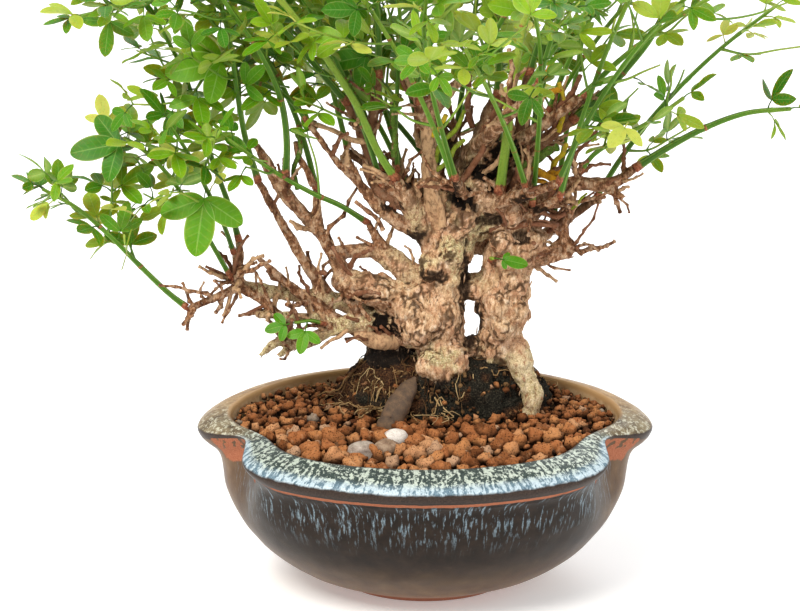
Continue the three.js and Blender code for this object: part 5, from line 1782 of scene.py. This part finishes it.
@dataclass
class OldWood:
    """All that grew as old wood: trunks, limbs, stubs and twigs, in one body."""

    plan: Plan
    voxel: float = 1.0
    twigs: int = 330
    # radii between which the relief of the bark grows from a twig's to a trunk's
    trunk_like: tuple[float, float] = (2.0, 8.0)
    lowest_twig: float = 114.0
    # where bark relief dips into the hole between the trunks' heads and the hole is painted black as shade:
    # centre and half sizes
    pit: tuple[tuple[float, ...], ...] = ((18, 4, 191), (4.8, 12.0, 5.4))
    # lumps on the trunks as the front view shows them: across, depth, up, radius
    lumps: tuple[tuple[float, float, float, float], ...] = ((-4, 9, 127, 8.2), (-7, 8, 136, 6.4),
        (1, 7, 131, 6.0), (3, 8, 108, 8.0), (14, 10, 111, 7.6), (6, 10, 102, 8.6), (18, 13, 103, 7.0),
        (3, 9, 158, 6.6), (12, 9, 166, 6.4), (19, 10, 181, 6.8), (12, 12, 190, 6.0), (24, 11, 197, 6.4),
        (34, 10, 140, 7.2), (42, 11, 150, 7.4), (37, 10, 128, 6.4), (44, 10, 136, 5.4), (45, 11, 163, 6.6),
        (36, 11, 170, 6.0), (41, 10, 184, 5.6), (32, 12, 189, 6.4), (5, 27, 140, 8.6), (12, 28, 158, 8.6),
        (40, 31, 150, 9.0), (38, 31, 132, 8.6), (22, 29, 190, 8.8), (-14, 31, 118, 8.0), (8, 30, 112, 9.0),
        (28, 18, 103, 7.0), (21.5, 20, 117, 6.5), (-22, 14, 146, 7.0), (-28, 13.5, 147.5, 6.8),
        (-34, 13, 149.5, 6.4), (-39, 13, 151, 5.6))
    # surface roots that leave the trunks: rows of across, depth, up and radius
    flares: tuple[tuple[tuple[float, float, float, float], ...], ...] = (((8, 30, 108, 6.0),
        (4, 40, 101, 4.0), (0, 47, 92, 2.2), (-3, 51, 80, 1.2)), ((40, 30, 108, 5.0), (50, 36, 100, 3.4),
        (56, 39, 90, 2.0), (60, 40, 80, 1.2)))
    # the limb that stands behind, painted dark as the shade that it stands in, and the broken flake in
    # front of it
    shaded_limb: int = 3
    flake: int = 9
    # limbs that look pale, reddish and grey-green
    pale: tuple[int, ...] = (9, 22, 23, 24)
    reddish: tuple[int, ...] = (20, 21, 33, 34)
    mossy: tuple[int, ...] = (35, 36, 39, 42)
    # painted shade on the wood where the front view shows it dark: across, up, half width, half height
    painted_shades: tuple[tuple[float, float, float, float], ...] = ((4, 153, 10, 5), (19, 150, 3.2, 26),
        (22, 121, 6, 9), (25, 130, 3.5, 16), (-19, 128, 9, 11), (-26, 112, 18, 7), (-4, 172, 8, 5),
        (32, 181, 9, 4), (28, 205, 14, 7), (12, 196, 6, 10), (46, 172, 7, 5), (-30, 142, 16, 2.5),
        (38, 214, 12, 8), (8, 215, 7, 9), (-14, 187, 8, 4), (54, 186, 8, 3), (31, 196, 6, 3.5),
        (45, 191, 7, 3), (22, 187, 4, 4), (52, 199, 6, 2.5), (5, 189, 4, 5), (-7, 199, 5, 4))
    seed: int = 900

    def build(self) -> list[Piece]:
        """Makes and returns the body of old wood, and the stubs and loose flakes of bark on it."""
        raw = Skin()
        axis = []
        for number, limb in enumerate(self.plan.limbs):
            axis.append(self.thicken(raw, np.column_stack([limb.points, limb.radii])))
            # painted shade: the limb that stands behind is darkened through its peat value
            axis[-1][:, 7] = 0.55 if number == self.shaded_limb else 0.0
            axis[-1][:, 8] = number
        for rows in self.flares:
            axis.append(self.thicken(raw, placed(rows)))
            axis[-1][:, 7] = 0.75
        ball, faces = chunk(3)
        for across, depth, up, radius in self.lumps:
            shape = ball * radius * np.array([1.0, 0.85, 1.1])
            raw.add(shape + seen(across, depth, up), faces)
        lump = raw.bare("raw_wood")
        remesh = lump.modifiers.new("merge", "REMESH")
        remesh.mode = "VOXEL"
        remesh.voxel_size = self.voxel * MM
        soften = lump.modifiers.new("soften", "SMOOTH")
        soften.factor = 0.5
        soften.iterations = 4
        settle(lump)
        points, quads, normals = self.read(lump)
        bpy.data.objects.remove(lump)
        skin = Skin(*BARK_VALUES)
        self.add_bark(skin, points, quads, normals, np.vstack(axis))
        return [skin.piece("old_wood", BARK, "wood"), self.stubs()]

    def thicken(self, skin: Skin, control: Array) -> Array:
        """Adds one limb as a smooth, slightly uneven tube.

        Args:
            skin: where it goes.
            control: its places and radii.

        Returns:
            At each step its place, radius and way along, and two numbers for peat and for the limb.
        """
        dense, _ = smooth_run(control, 2.0)
        dense[:, 3] = np.maximum(dense[:, 3] * (1 + 0.16 * noise_at(dense[:, :3] + 7, 7, 2)), 0.95)
        widest = float(dense[:, 3].max())
        skin.tube(dense[:, :3], dense[:, 3], 22 if widest > 6 else 12, blunt=0.5)
        along, _, _ = frames_along(dense[:, :3])
        return np.column_stack([dense, along, np.zeros((len(dense), 2))])

    @staticmethod
    def read(piece: Piece) -> tuple[Array, Array, Array]:
        """Points in millimetres, four-sided faces and point normals of a piece."""
        mesh = piece.data
        points = np.empty(3 * len(mesh.vertices))
        mesh.vertices.foreach_get("co", points)
        corners = np.empty(len(mesh.loops), np.int32)
        mesh.loops.foreach_get("vertex_index", corners)
        normals = np.empty(3 * len(mesh.vertices), np.float32)
        mesh.vertex_normals.foreach_get("vector", normals)
        return points.reshape(-1, 3) / MM, corners.reshape(-1, 4), normals.reshape(-1, 3).astype(float)

    def add_bark(self, skin: Skin, points: Array, quads: Array, normals: Array, axis: Array) -> None:
        """Gives the wood its bark as real relief, with the values that colour it, painted shade and
        highlights among them.

        Args:
            skin: where it goes.
            points: the smooth wood's points.
            quads: its faces.
            normals: its normals.
            axis: what thicken gives for every limb.
        """
        nearest = np.empty(len(points), int)
        for start in range(0, len(points), 4000):
            part = points[start : start + 4000]
            gaps = np.linalg.norm(part[:, None] - axis[None, :, :3], axis=2) - axis[None, :, 3]
            nearest[start : start + 4000] = gaps.argmin(axis=1)
        girth, along = axis[nearest, 3], axis[nearest, 4:7]
        squeezed = points - along * (0.72 * np.einsum("ij,ij->i", points, along))[:, None]
        thick = ramp_up(girth, *self.trunk_like)
        warp = noise_at(points + 44, 4.0, 2)[:, None] * [1.7, -1.3, 1.5]
        seam = 1 - ramp_up(seam_at(squeezed + warp, 5.4), 0.02, 0.26)
        seam *= ramp_up(noise_at(points + 91, 13, 2), -0.3, 0.1)
        ridges = 1 - 2.2 * np.abs(noise_at(squeezed + 31, 3.2, 3))
        swells = noise_at(points + 5, 9, 2)
        flakes = noise_at(points + 77, 2.3, 3)
        relief = (0.2 + 0.3 * thick) * ridges + swells * (0.3 + 0.13 * girth) + flakes * (0.2 + 0.2 * thick)
        relief -= seam * (0.1 + 0.6 * thick)
        pit = np.linalg.norm((points - seen(*self.pit[0])) / self.pit[1], axis=1)
        relief -= 5.5 * ramp_up(-pit, -1.15, -0.5)
        # painted shade: the low parts of the relief darken
        hollow_shade = ramp_up(-ridges * 0.7 - flakes * 0.8 - swells * 0.5, 0.1, 1.1)
        crack = np.maximum(seam * (0.25 + 0.38 * thick), hollow_shade * (0.45 + 0.24 * thick))
        # painted highlight: the high parts of the relief lighten, carried as negative values
        crest = ramp_up(ridges * 0.5 + flakes * 0.9 + swells * 0.5 - 1.5 * seam, 0.35, 1.2)
        crack = np.where(crack > 0.25, crack, -crest)
        # painted shade: the hole between the trunks' heads is black
        crack = np.where(pit < 1.05, 1.0, crack)
        # painted shade on the wood that lies further back, high on the trunks
        crack = np.maximum(crack, 0.62 * ramp_up(points[:, 1], 12, 21) * ramp_up(points[:, 2], 158, 180)
            - 0.1)
        across, up = front_view(points)
        # the left trunk's head: painted shade here, and lichen below
        head = ramp_up(up, 158, 174) * ramp_up(-across, -34, -24) * ramp_up(across, -14, -6)
        crack = np.maximum(crack, 0.52 * head * ramp_up(flakes + swells, -0.5, 0.4) - 0.1)
        number = axis[nearest, 8]
        # painted shade at each place of the table
        for a, u, wide, tall in self.painted_shades:
            out = np.hypot((across - a) / wide, (up - u) / tall) + 0.5 * flakes + 0.3 * swells
            shade = ramp_up(-out, -1.15, -0.5) * ((number != self.flake) | (points[:, 1] > 9.5))
            crack = np.maximum(crack, shade * (0.88 if wide * tall > 90 else 0.72) - (1 - shade))
        patch = ramp_up(noise_at(points + 60, 10, 2), -0.15, 0.25)
        low = ramp_up(-np.abs(up - 110), -13, -6) * ramp_up(across, -16, -4)
        high = ramp_up(-np.abs(up - 172), -30, -14) * ramp_up(-across, -40, -26)
        lichen = np.clip((0.85 * low + 0.7 * high + 0.5 * head + 0.12) * patch * thick, 0, 1)
        foot = ramp_up(across, 34, 44) * ramp_up(-up, -122, -108)
        crack = crack - 0.3 * foot
        lichen = np.maximum(lichen, 0.85 * foot)
        mossy = ramp_up(noise_at(points + 20, 9, 2), -0.2, 0.2)
        lichen = np.maximum(lichen, (0.4 + 0.5 * mossy) * np.isin(number, self.mossy))
        tint = 0.34 * np.isin(number, self.pale) + 0.1 * np.isin(number, self.reddish)
        # peat on the lowest wood and the surface roots; on the limb behind it is painted shade
        peat = np.maximum(ramp_up(-up, -108, -95) * (1 - foot) * 0.75, axis[nearest, 7] * (1 - foot))
        points = points + normals * relief[:, None]
        skin.add(points, quads, crack=np.clip(crack, -1, 1), girth=girth, lichen=lichen, peat=peat,
            stub=tint)

    def stubs(self) -> Piece:
        """Makes the cut stubs, sticks and flakes that sit on the wood."""
        skin = Skin(*BARK_VALUES)
        for n, ((x0, z0, x1, z1, d0, d1, r0, r1), look) in enumerate(STUB_ROWS):
            dice = Dice(self.seed + n)
            ends = np.array([[*seen(x0, d0, z0), r0], [*seen(x1, d1, z1), r1]])
            length = float(np.linalg.norm(ends[1, :3] - ends[0, :3]))
            bend = [dice.within(-0.09, 0.09) * length for _ in range(6)]
            rows = [ends[0] + (ends[1] - ends[0]) * t for t in (0.35, 0.7)]
            rows = [ends[0], rows[0] + [*bend[:3], 0], rows[1] + [*bend[3:], 0], ends[1]]
            dense, _ = smooth_run(np.array(rows), 0.9)
            bumps = 0.86 * (1 + 0.3 * noise_at(dense[:, :3] + n, 2.8, 3))
            is_green = look is Stub.GREEN
            looks = {"stub": 0.0 if is_green else look.value, "green": 0.9 if is_green else 0.0}
            skin.tube(dense[:, :3], dense[:, 3] * bumps, 9, blunt=0.25, girth=2.0, **looks)
        self.add_twigs(skin)
        self.add_flakes(skin)
        return skin.piece("stubs_and_flakes", BARK)

    def add_twigs(self, skin: Skin) -> None:
        """Adds short dead twigs that leave the limbs and bend at their buds."""
        dice = np.random.default_rng(self.seed + 1)
        looks = (Stub.BARK, Stub.RED, Stub.BARK, Stub.PALE, Stub.RED, Stub.PALE, Stub.BARK)
        limbs = self.plan.limbs[len(TRUNK_ROWS) + 1 :]
        for n in range(self.twigs):
            limb = limbs[int(dice.integers(len(limbs)))]
            span = int(dice.integers(len(limb.points) - 1))
            step = limb.points[span + 1] - limb.points[span]
            line = [limb.points[span] + step * dice.random()]
            out = unit(np.cross(unit(step), dice.normal(size=3)))
            way = unit(out + unit(step) * 0.6 + np.array([0, 0, 0.35]))
            piece = dice.uniform(4, 8)
            for _ in range(int(dice.integers(2, 5))):
                line.append(line[-1] + way * piece * dice.uniform(0.7, 1.2))
                way = unit(way + dice.normal(size=3) * 0.3)
            if min(point[2] for point in line) < self.lowest_twig:
                continue
            bends = np.array(line)
            spans = np.linspace(0, len(line) - 1, 4 * len(line) - 3)
            dense = np.stack([np.interp(spans, np.arange(len(line)), bends[:, k]) for k in range(3)], 1)
            dense += dice.normal(size=dense.shape) * 0.12
            knots = 1 + 0.45 * (np.abs(spans - np.round(spans)) < 0.01)
            radii = dice.uniform(0.75, 1.5) * (1 - 0.45 * spans / spans[-1]) * knots
            skin.tube(dense, radii, 6, blunt=0.3, girth=1.0, stub=looks[n % len(looks)].value)

    def add_flakes(self, skin: Skin) -> None:
        """Adds thin scales of bark that lift off the trunks and limbs."""
        dice = np.random.default_rng(self.seed)
        ball, faces = chunk(1)
        for limb in self.plan.limbs:
            dense, _ = smooth_run(np.column_stack([limb.points, limb.radii]), 3.2)
            along, across, over = frames_along(dense[:, :3])
            for i in range(1, len(dense)):
                if dice.random() > 0.7:
                    continue
                turn = dice.uniform(0, 2 * math.pi)
                out = across[i] * math.cos(turn) + over[i] * math.sin(turn)
                radius = dense[i, 3]
                size = dice.uniform(0.5, 1.0) + 0.1 * radius
                shape = chipped(ball, dice, 4, 0.5) * [0.2, 0.6, 1.5] * size
                rise = unit(along[i] + out * dice.uniform(-0.1, 0.5))
                face = np.cross(rise, np.cross(out, rise))
                basis = np.stack([face, np.cross(rise, face), rise])
                place = dense[i, :3] + out * radius * dice.uniform(0.94, 1.08)
                pale = 0.34 if dice.random() < 0.35 else 0.0
                skin.add(shape @ basis + place, faces, girth=radius, stub=pale)


# Shoots and leaves


# The lowest place where the front view shows leaves: across and up
LEAF_FLOOR = ((-200, 150), (-150, 152), (-122, 168), (-105, 190), (-85, 205), (-60, 212), (-20, 224),
    (0, 240), (42, 247), (62, 236), (80, 205), (96, 190), (130, 186), (190, 192))


def is_leafy(point: Array) -> bool:
    """Whether the front view shows leaves at this place."""
    across, up = front_view(point)
    return up > np.interp(across, *zip(*LEAF_FLOOR))


@dataclass
class Crown:
    """All green growth: the shoots of the plan with their side shoots, and many more leaves."""

    plan: Plan
    node_pitch: float = 12.5
    side_pitch: float = 24.0
    side_lengths: tuple[float, float] = (20.0, 58.0)
    leaf_sizes: tuple[float, float] = (11.0, 18.0)
    # share of the leaves that fail to grow, by the place across in the front view
    gaps: tuple[tuple[float, float], ...] = ((-150, 0.0), (-60, 0.05), (0, 0.4), (60, 0.55), (90, 0.84),
        (150, 0.86), (185, 0.55))
    # corners of the room that side shoots may fill
    room: tuple[tuple[float, ...], ...] = ((-188, -150, 0), (184, 184, 348))
    side_radii: tuple[float, float] = (0.7, 0.45)
    side_bare: float = 0.12
    dice: Chance = field(default_factory=lambda: np.random.default_rng(40))

    def build(self) -> list[Piece]:
        """Makes and returns one piece for each shoot of the plan."""
        made = []
        shoots = self.plan.shoots.values()
        stems = np.vstack([shoot.balls() for shoot in shoots])
        sides: dict[str, list[Shoot]] = {}
        for shoot in shoots:
            sides[shoot.name] = self.side_shoots(shoot, stems)
            stems = np.vstack([stems, *[side.balls()[3:] for side in sides[shoot.name]]])
        self.plan.taken = np.vstack([self.plan.taken, stems])
        for shoot in shoots:
            self.add_leaves(shoot, self.bare(shoot))
            for side in sides[shoot.name]:
                self.add_leaves(side, self.side_bare)
        for shoot in shoots:
            skin = Skin(*LEAF_VALUES)
            for stem in (shoot, *sides[shoot.name]):
                self.grow(skin, stem)
            made.append(skin.piece("leafy_" + shoot.name, LEAFY, shoot.name))
        return made

    @staticmethod
    def bare(shoot: Shoot) -> float:
        """The share of a shoot's length that bears no leaves."""
        return SHOOT_ROWS[shoot.name][0][2] if shoot.name in SHOOT_ROWS else 0.25

    def side_shoots(self, shoot: Shoot, stems: Array) -> list[Shoot]:
        """Thin side shoots that leave a shoot where there is room for them.

        Args:
            shoot: the shoot.
            stems: balls of all stems.

        Returns:
            The side shoots.
        """
        dice, bare = self.dice, self.bare(shoot)
        if len(shoot.points) < 4 or bare > 0.8:
            return []
        dense, _ = smooth_run(shoot.points, 2.0)
        along, across, over = frames_along(dense, shoot.root_way)
        path = walked(dense)
        place = path[-1] * max(bare * 0.8, 0.16) + dice.uniform(0, 12)
        sides: list[Shoot] = []
        turn = dice.uniform(0, 2 * math.pi)
        while place < 0.9 * path[-1]:
            i = int(np.searchsorted(path, place))
            crowd = np.interp(front_view(dense[i])[0], (-150, -40, 40, 120), (0.6, 0.9, 1.0, 1.5))
            place += self.side_pitch * dice.uniform(0.7, 1.4) * crowd
            for _ in range(4):
                turn += math.pi / 2 * dice.integers(1, 4) + dice.normal() * 0.2
                out = across[i] * math.cos(turn) + over[i] * math.sin(turn)
                length = dice.uniform(*self.side_lengths) * (1.1 - 0.5 * path[i] / path[-1])
                start = unit(out * 0.8 + along[i] * 0.6)
                later = unit(start * 0.8 + np.array([0, 0, 0.32]) + dice.normal(size=3) * 0.16)
                root = dense[i]
                third = root + (start * 0.35 + later * 0.35) * length
                tip = third + unit(later + dice.normal(size=3) * 0.12) * 0.35 * length
                points = np.array([root, root + start * 0.3 * length, third, tip])
                balls = balls_along(points, *self.side_radii)
                free = balls[np.linalg.norm(balls[:, :3] - root, axis=1) > 6]
                inside = (self.room[0] < tip).all() and (tip < self.room[1]).all()
                if inside and is_leafy(tip) and is_clear(free, stems, 2.0):
                    sides.append(Shoot(shoot.name, points, dice.uniform(0.65, 0.85), self.side_radii[1]))
                    stems = np.vstack([stems, free])
                    break
        return sides

    def add_leaves(self, shoot: Shoot, bare: float) -> None:
        """Adds pairs of leaves up a shoot, crosswise from node to node, where there is room.

        Args:
            shoot: the shoot.
            bare: the share of its length that is bare.
        """
        plan, dice = self.plan, self.dice
        dense, _ = smooth_run(shoot.points, 2.0)
        along, across, over = frames_along(dense, shoot.root_way)
        path = walked(dense)
        place = path[-1] * bare + dice.uniform(2, 6)
        quarter = dice.uniform(0, math.pi)
        fresh: list[Leaf] = []
        while place < path[-1] + 3:
            i = int(np.searchsorted(path, min(place, path[-1] - 0.1)))
            share = min(place / path[-1], 1)
            place += self.node_pitch * dice.uniform(0.75, 1.3)
            quarter += math.pi / 2
            radius = shoot.root_radius + (shoot.tip_radius - shoot.root_radius) * share
            for side in (0.0, math.pi):
                turn = quarter + side + dice.normal() * 0.25
                out = across[i] * math.cos(turn) + over[i] * math.sin(turn)
                lean = 0.4 + 0.5 * dice.random() + 1.2 * max(0.0, share - 0.85)
                way = unit(out + along[i] * lean + [0, 0, 0.1])
                wish = np.array([0.0, -0.14, 0.97]) + dice.normal(size=3) * 0.34
                normal = unit(wish - way * (wish @ way))
                size = dice.uniform(*self.leaf_sizes) * (1.0 - 0.3 * max(0.0, share - 0.7))
                across_here, up_here = front_view(dense[i])
                gap = np.interp(across_here, *zip(*self.gaps)) * (0.45 if up_here < 224 else 1.0)
                if not is_leafy(dense[i]) or dice.random() < gap:
                    continue
                for part in (1.0, 0.74):
                    leaf = Leaf(dense[i] + out * radius * 0.8, way, normal, size * part)
                    balls = plan.leaf_balls(leaf)
                    balls[:, 3] *= 0.5
                    own = balls[np.linalg.norm(balls[:, :3] - leaf.root, axis=1) > 8]
                    if is_clear(own, plan.taken, 0.1):
                        fresh.append(leaf)
                        plan.taken = np.vstack([plan.taken, balls])
                        break
        shoot.leaves = [*shoot.leaves, *fresh]

    def grow(self, skin: Skin, shoot: Shoot) -> None:
        """Builds one shoot: its ridged stem, and its leaves on their stalks.

        Args:
            skin: where it goes.
            shoot: the shoot.
        """
        dice = self.dice
        is_main = shoot.root_way is not None
        dense, spans = smooth_run(shoot.points, 1.8 if is_main else 3.0)
        share = spans / spans[-1]
        radii = shoot.root_radius + (shoot.tip_radius - shoot.root_radius) * share
        path = walked(dense)
        pitch = dice.uniform(24, 34)
        node = np.exp(-((((path + pitch * 0.3) % pitch - pitch / 2) / 1.3) ** 2)) * (path > 8)
        foot = np.exp(-((path / 4.5) ** 2))
        radii = radii * (1 + 0.16 * node + 0.25 * foot)
        sides = 12 if is_main else 6
        ridge = 0.5 - 0.5 * np.cos(4 * turns_round(sides))
        profile = 0.9 + 0.16 * ridge
        if is_main:
            dense = dense.copy()
            dense[0] = dense[0] + shoot.root_way * 0.2
        young = dice.uniform(0.0, 0.35) + 0.4 * share + 0.15 * (not is_main)
        bright = 0.45 if shoot.name in ("shoot_pale", "shoot_long_bright") and is_main else 0.0
        skin.tube(dense, radii, sides, profile, shoot.root_way, blunt=0.8, across=np.ones((len(dense), 1))
            * ridge, along=share, young=np.clip(young + bright, 0, 1),
            collar=np.clip(1.1 * foot + 0.65 * node * (dice.random() < 0.7) * (share < 0.75), 0,
            1) * is_main)
        for leaf in shoot.leaves:
            self.unfold(skin, leaf)

    def unfold(self, skin: Skin, leaf: Leaf) -> None:
        """Builds one leaf: a stalk, and three thin arched leaflets.

        Args:
            skin: where it goes.
            leaf: the leaf.
        """
        plan, dice = self.plan, self.dice
        side = np.cross(leaf.normal, leaf.way)
        junction = leaf.root + leaf.way * plan.petiole
        behind = float(ramp_up(leaf.root[1], -30, 90))
        young = dice.normal(0.2, 0.08) if leaf.large else dice.normal(0.38 + 0.16 * behind, 0.27)
        young = float(np.clip(young, 0, 1))
        middle = leaf.root + leaf.way * plan.petiole * 0.5 + leaf.normal * 0.5
        stalk = np.array([leaf.root - leaf.way * 0.6, middle, junction + leaf.way * 0.8])
        skin.tube(stalk, np.array([0.55, 0.36, 0.34]), 4, across=0.4, young=young)
        beside = 0.4 if leaf.size == LARGE_LEAVES["shoot_on_trunk"][0][3] else plan.side_leaflet
        for turn, share in plan.leaflets(beside):
            loose = 0.0 if leaf.large else dice.normal() * 0.14
            ahead = leaf.way * math.cos(turn + loose) + side * math.sin(turn + loose)
            twist = dice.normal() * (0.12 if leaf.large else 0.34)
            up = leaf.normal * math.cos(twist) + np.cross(ahead, leaf.normal) * math.sin(twist)
            self.leaflet(skin, junction, ahead, up, leaf.size * share, young, leaf.large)

    def leaflet(self, skin: Skin, root: Array, ahead: Array, up: Array, length: float, young: float,
            large: bool) -> None:
        """Builds one leaflet as a thin closed blade.

        Args:
            skin: where it goes.
            root: where its base is.
            ahead: the way it points.
            up: the way its face looks.
            length: its length.
            young: how pale a green it is, from 0 to 1.
            large: whether it is one of the large leaves.
        """
        dice = self.dice
        rows, columns = (19, 9) if large else (8, 3)
        s = 0.5 - 0.5 * np.cos(np.linspace(0, math.pi, rows))
        s = 0.6 * s + 0.4 * np.linspace(0, 1, rows)
        v = np.linspace(-1, 1, columns)
        rise, fall = (0.62, 0.56) if large else (dice.uniform(0.68, 0.9), dice.uniform(0.55, 0.7))
        half = s**rise * (1 - s) ** fall
        half = half / half.max() * (dice.uniform(0.26, 0.29) if large else dice.uniform(0.21, 0.27))
        half = np.maximum(half, 0.022)
        droop = dice.uniform(0.06, 0.2) if large else dice.uniform(0.0, 0.3)
        fold = dice.uniform(0.1, 0.3)
        wave = dice.uniform(0.0, 0.03)
        phase = dice.uniform(0, 6.28)
        spread_v, spread_s = np.meshgrid(v, s)
        y = spread_v * half[:, None]
        lift = fold * np.abs(y) - droop * spread_s**2 - 0.3 * y * y
        lift = lift + wave * np.sin(spread_s * 8 + phase) * np.abs(spread_v)
        side = np.cross(up, ahead)
        upper = root + np.einsum("ij,k->ijk", spread_s * length, ahead)
        upper = upper + np.einsum("ij,k->ijk", y * length, side) + np.einsum("ij,k->ijk", lift * length, up)
        body = (1 - np.abs(spread_v)) * np.sin(math.pi * spread_s)
        lower = upper - np.einsum("ij,k->ijk", 0.14 + 0.16 * body, up)
        inside = np.zeros((rows, columns), bool)
        inside[1:-1, 1:-1] = True
        number = np.arange(rows * columns).reshape(rows, columns)
        below = number.copy()
        below[inside] = rows * columns + np.arange(int(inside.sum()))
        top = np.stack([number[:-1, :-1], number[1:, :-1], number[1:, 1:], number[:-1, 1:]], -1).reshape(-1,
            4)
        low = np.stack([below[:-1, :-1], below[:-1, 1:], below[1:, 1:], below[1:, :-1]], -1).reshape(-1, 4)
        rim = np.concatenate([~inside.ravel(), np.zeros(int(inside.sum()), bool)])
        skin.add(np.vstack([upper.reshape(-1, 3), lower[inside]]), [top, low], sharp=rim, blade=1.0,
            across=np.concatenate([spread_v.ravel(), spread_v[inside]]),
            along=np.concatenate([spread_s.ravel(), spread_s[inside]]), young=young,
            under=np.concatenate([np.zeros(rows * columns), np.ones(int(inside.sum()))]))


# Camera, floor and light


@dataclass
class Studio:
    """A plain pale floor, soft light and the camera."""

    floor_half: float = 6.0
    distance: float = 1.5
    target: tuple[float, float, float] = (-0.012, 0.0, 0.1386)
    lens: float = 141.75
    sky_strength: float = 0.55
    floor_glow: float = 0.26
    # name, place, size across and down in metres, power in watts, colour
    lamps: tuple[tuple[str, tuple[float, float, float], float, float, str],
        ...] = (("key_light", (-0.9, -1.3, 1.9), 0.9, 50.0, "fffaf2"), ("fill_light", (1.5, -1.2, 1.1), 1.4,
        12.0, "f4f8ff"), ("back_light", (0.4, 1.6, 1.8), 1.6, 26.0, "ffffff"))

    def build(self) -> None:
        """Sets up the floor, the lights and the camera."""
        self.lay_floor()
        self.hang_lamps()
        self.set_camera()

    def lay_floor(self) -> None:
        """Lays the floor, gently mottled and almost white."""
        paint = Paint("pale_floor")
        cloud = paint.cloud(400.0, 3.0)
        base = paint.ramp(cloud, (0.3, "f4f4f4"), (0.7, "f9f9f9"))
        material = paint.finish(base, cloud * 0.1 + 0.8, cloud, 0.05, specular_ior_level=0.1,
            emission_strength=self.floor_glow)
        half = self.floor_half / MM
        skin = Skin()
        corners = [(-half, -half, 0), (half, -half, 0), (half, half, 0), (-half, half, 0)]
        skin.add(np.array(corners), [[[0, 1, 2, 3]]])
        floor = skin.bare("floor")
        floor.data.materials.append(material)
        floor.location.z = -0.0002

    def hang_lamps(self) -> None:
        """Hangs the soft lamps and lights the surroundings."""
        world = bpy.data.worlds.new("surroundings")
        world.use_nodes = True
        sky = world.node_tree.nodes["Background"].inputs
        sky["Color"].default_value = (1, 1, 1, 1)
        sky["Strength"].default_value = self.sky_strength
        bpy.context.scene.world = world
        for name, place, size, power, code in self.lamps:
            light = bpy.data.lights.new(name, "AREA")
            light.size = size
            light.energy = power
            light.color = colour(code)[:3]
            lamp = bpy.data.objects.new(name, light)
            lamp.location = place
            away = np.array(place) - np.array([0.0, 0.0, 0.12])
            lamp.rotation_euler = Matrix(self.facing(away)).to_euler()
            bpy.context.collection.objects.link(lamp)

    @staticmethod
    def facing(back: Array) -> list[list[float]]:
        """A turn whose -Z looks against the given way back."""
        z = unit(back)
        x = unit(np.cross([0.0, 0.0, 1.0], z))
        y = np.cross(z, x)
        return np.stack([x, y, z], axis=1).tolist()

    def set_camera(self) -> None:
        """Puts the camera where the front view is seen from."""
        camera = bpy.data.cameras.new("front_camera")
        camera.lens = self.lens
        camera.sensor_fit = "HORIZONTAL"
        camera.sensor_width = 36.0
        camera.clip_start = 0.05
        camera.clip_end = 40.0
        eye = bpy.data.objects.new("front_camera", camera)
        back = np.array([0.0, -math.cos(ELEVATION), math.sin(ELEVATION)])
        eye.location = (np.array(self.target) + back * self.distance).tolist()
        eye.rotation_euler = (math.pi / 2 - ELEVATION, 0.0, 0.0)
        bpy.context.collection.objects.link(eye)
        bpy.context.scene.camera = eye
        bpy.context.scene.view_settings.view_transform = "Standard"


def main() -> None:
    """Builds the object's pieces in order and reports each."""
    Studio().build()
    plan = Plan()
    plan.lay_out()
    LOG.info("plan: %d limbs, %d shoots", len(plan.limbs), len(plan.shoots))
    nodes = set(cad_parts)
    if set(plan.shoots) != {name for name in nodes if name.startswith("shoot_")}:
        raise ValueError("the plan's shoots aren't those of the packed model")
    pot = Pot()
    ball = RootBall()
    for part in (pot, ball, Soil(pot, ball), LooseStones(), OldWood(plan), Crown(plan)):
        for piece in part.build():
            triangles = sum(len(face.vertices) - 2 for face in piece.data.polygons)
            LOG.info("%s: %s, %d triangles", type(part).__name__, piece.name, triangles)


if __name__ == "__main__":
    logging.basicConfig(level=logging.INFO, format="%(message)s", stream=sys.stdout)
    main()
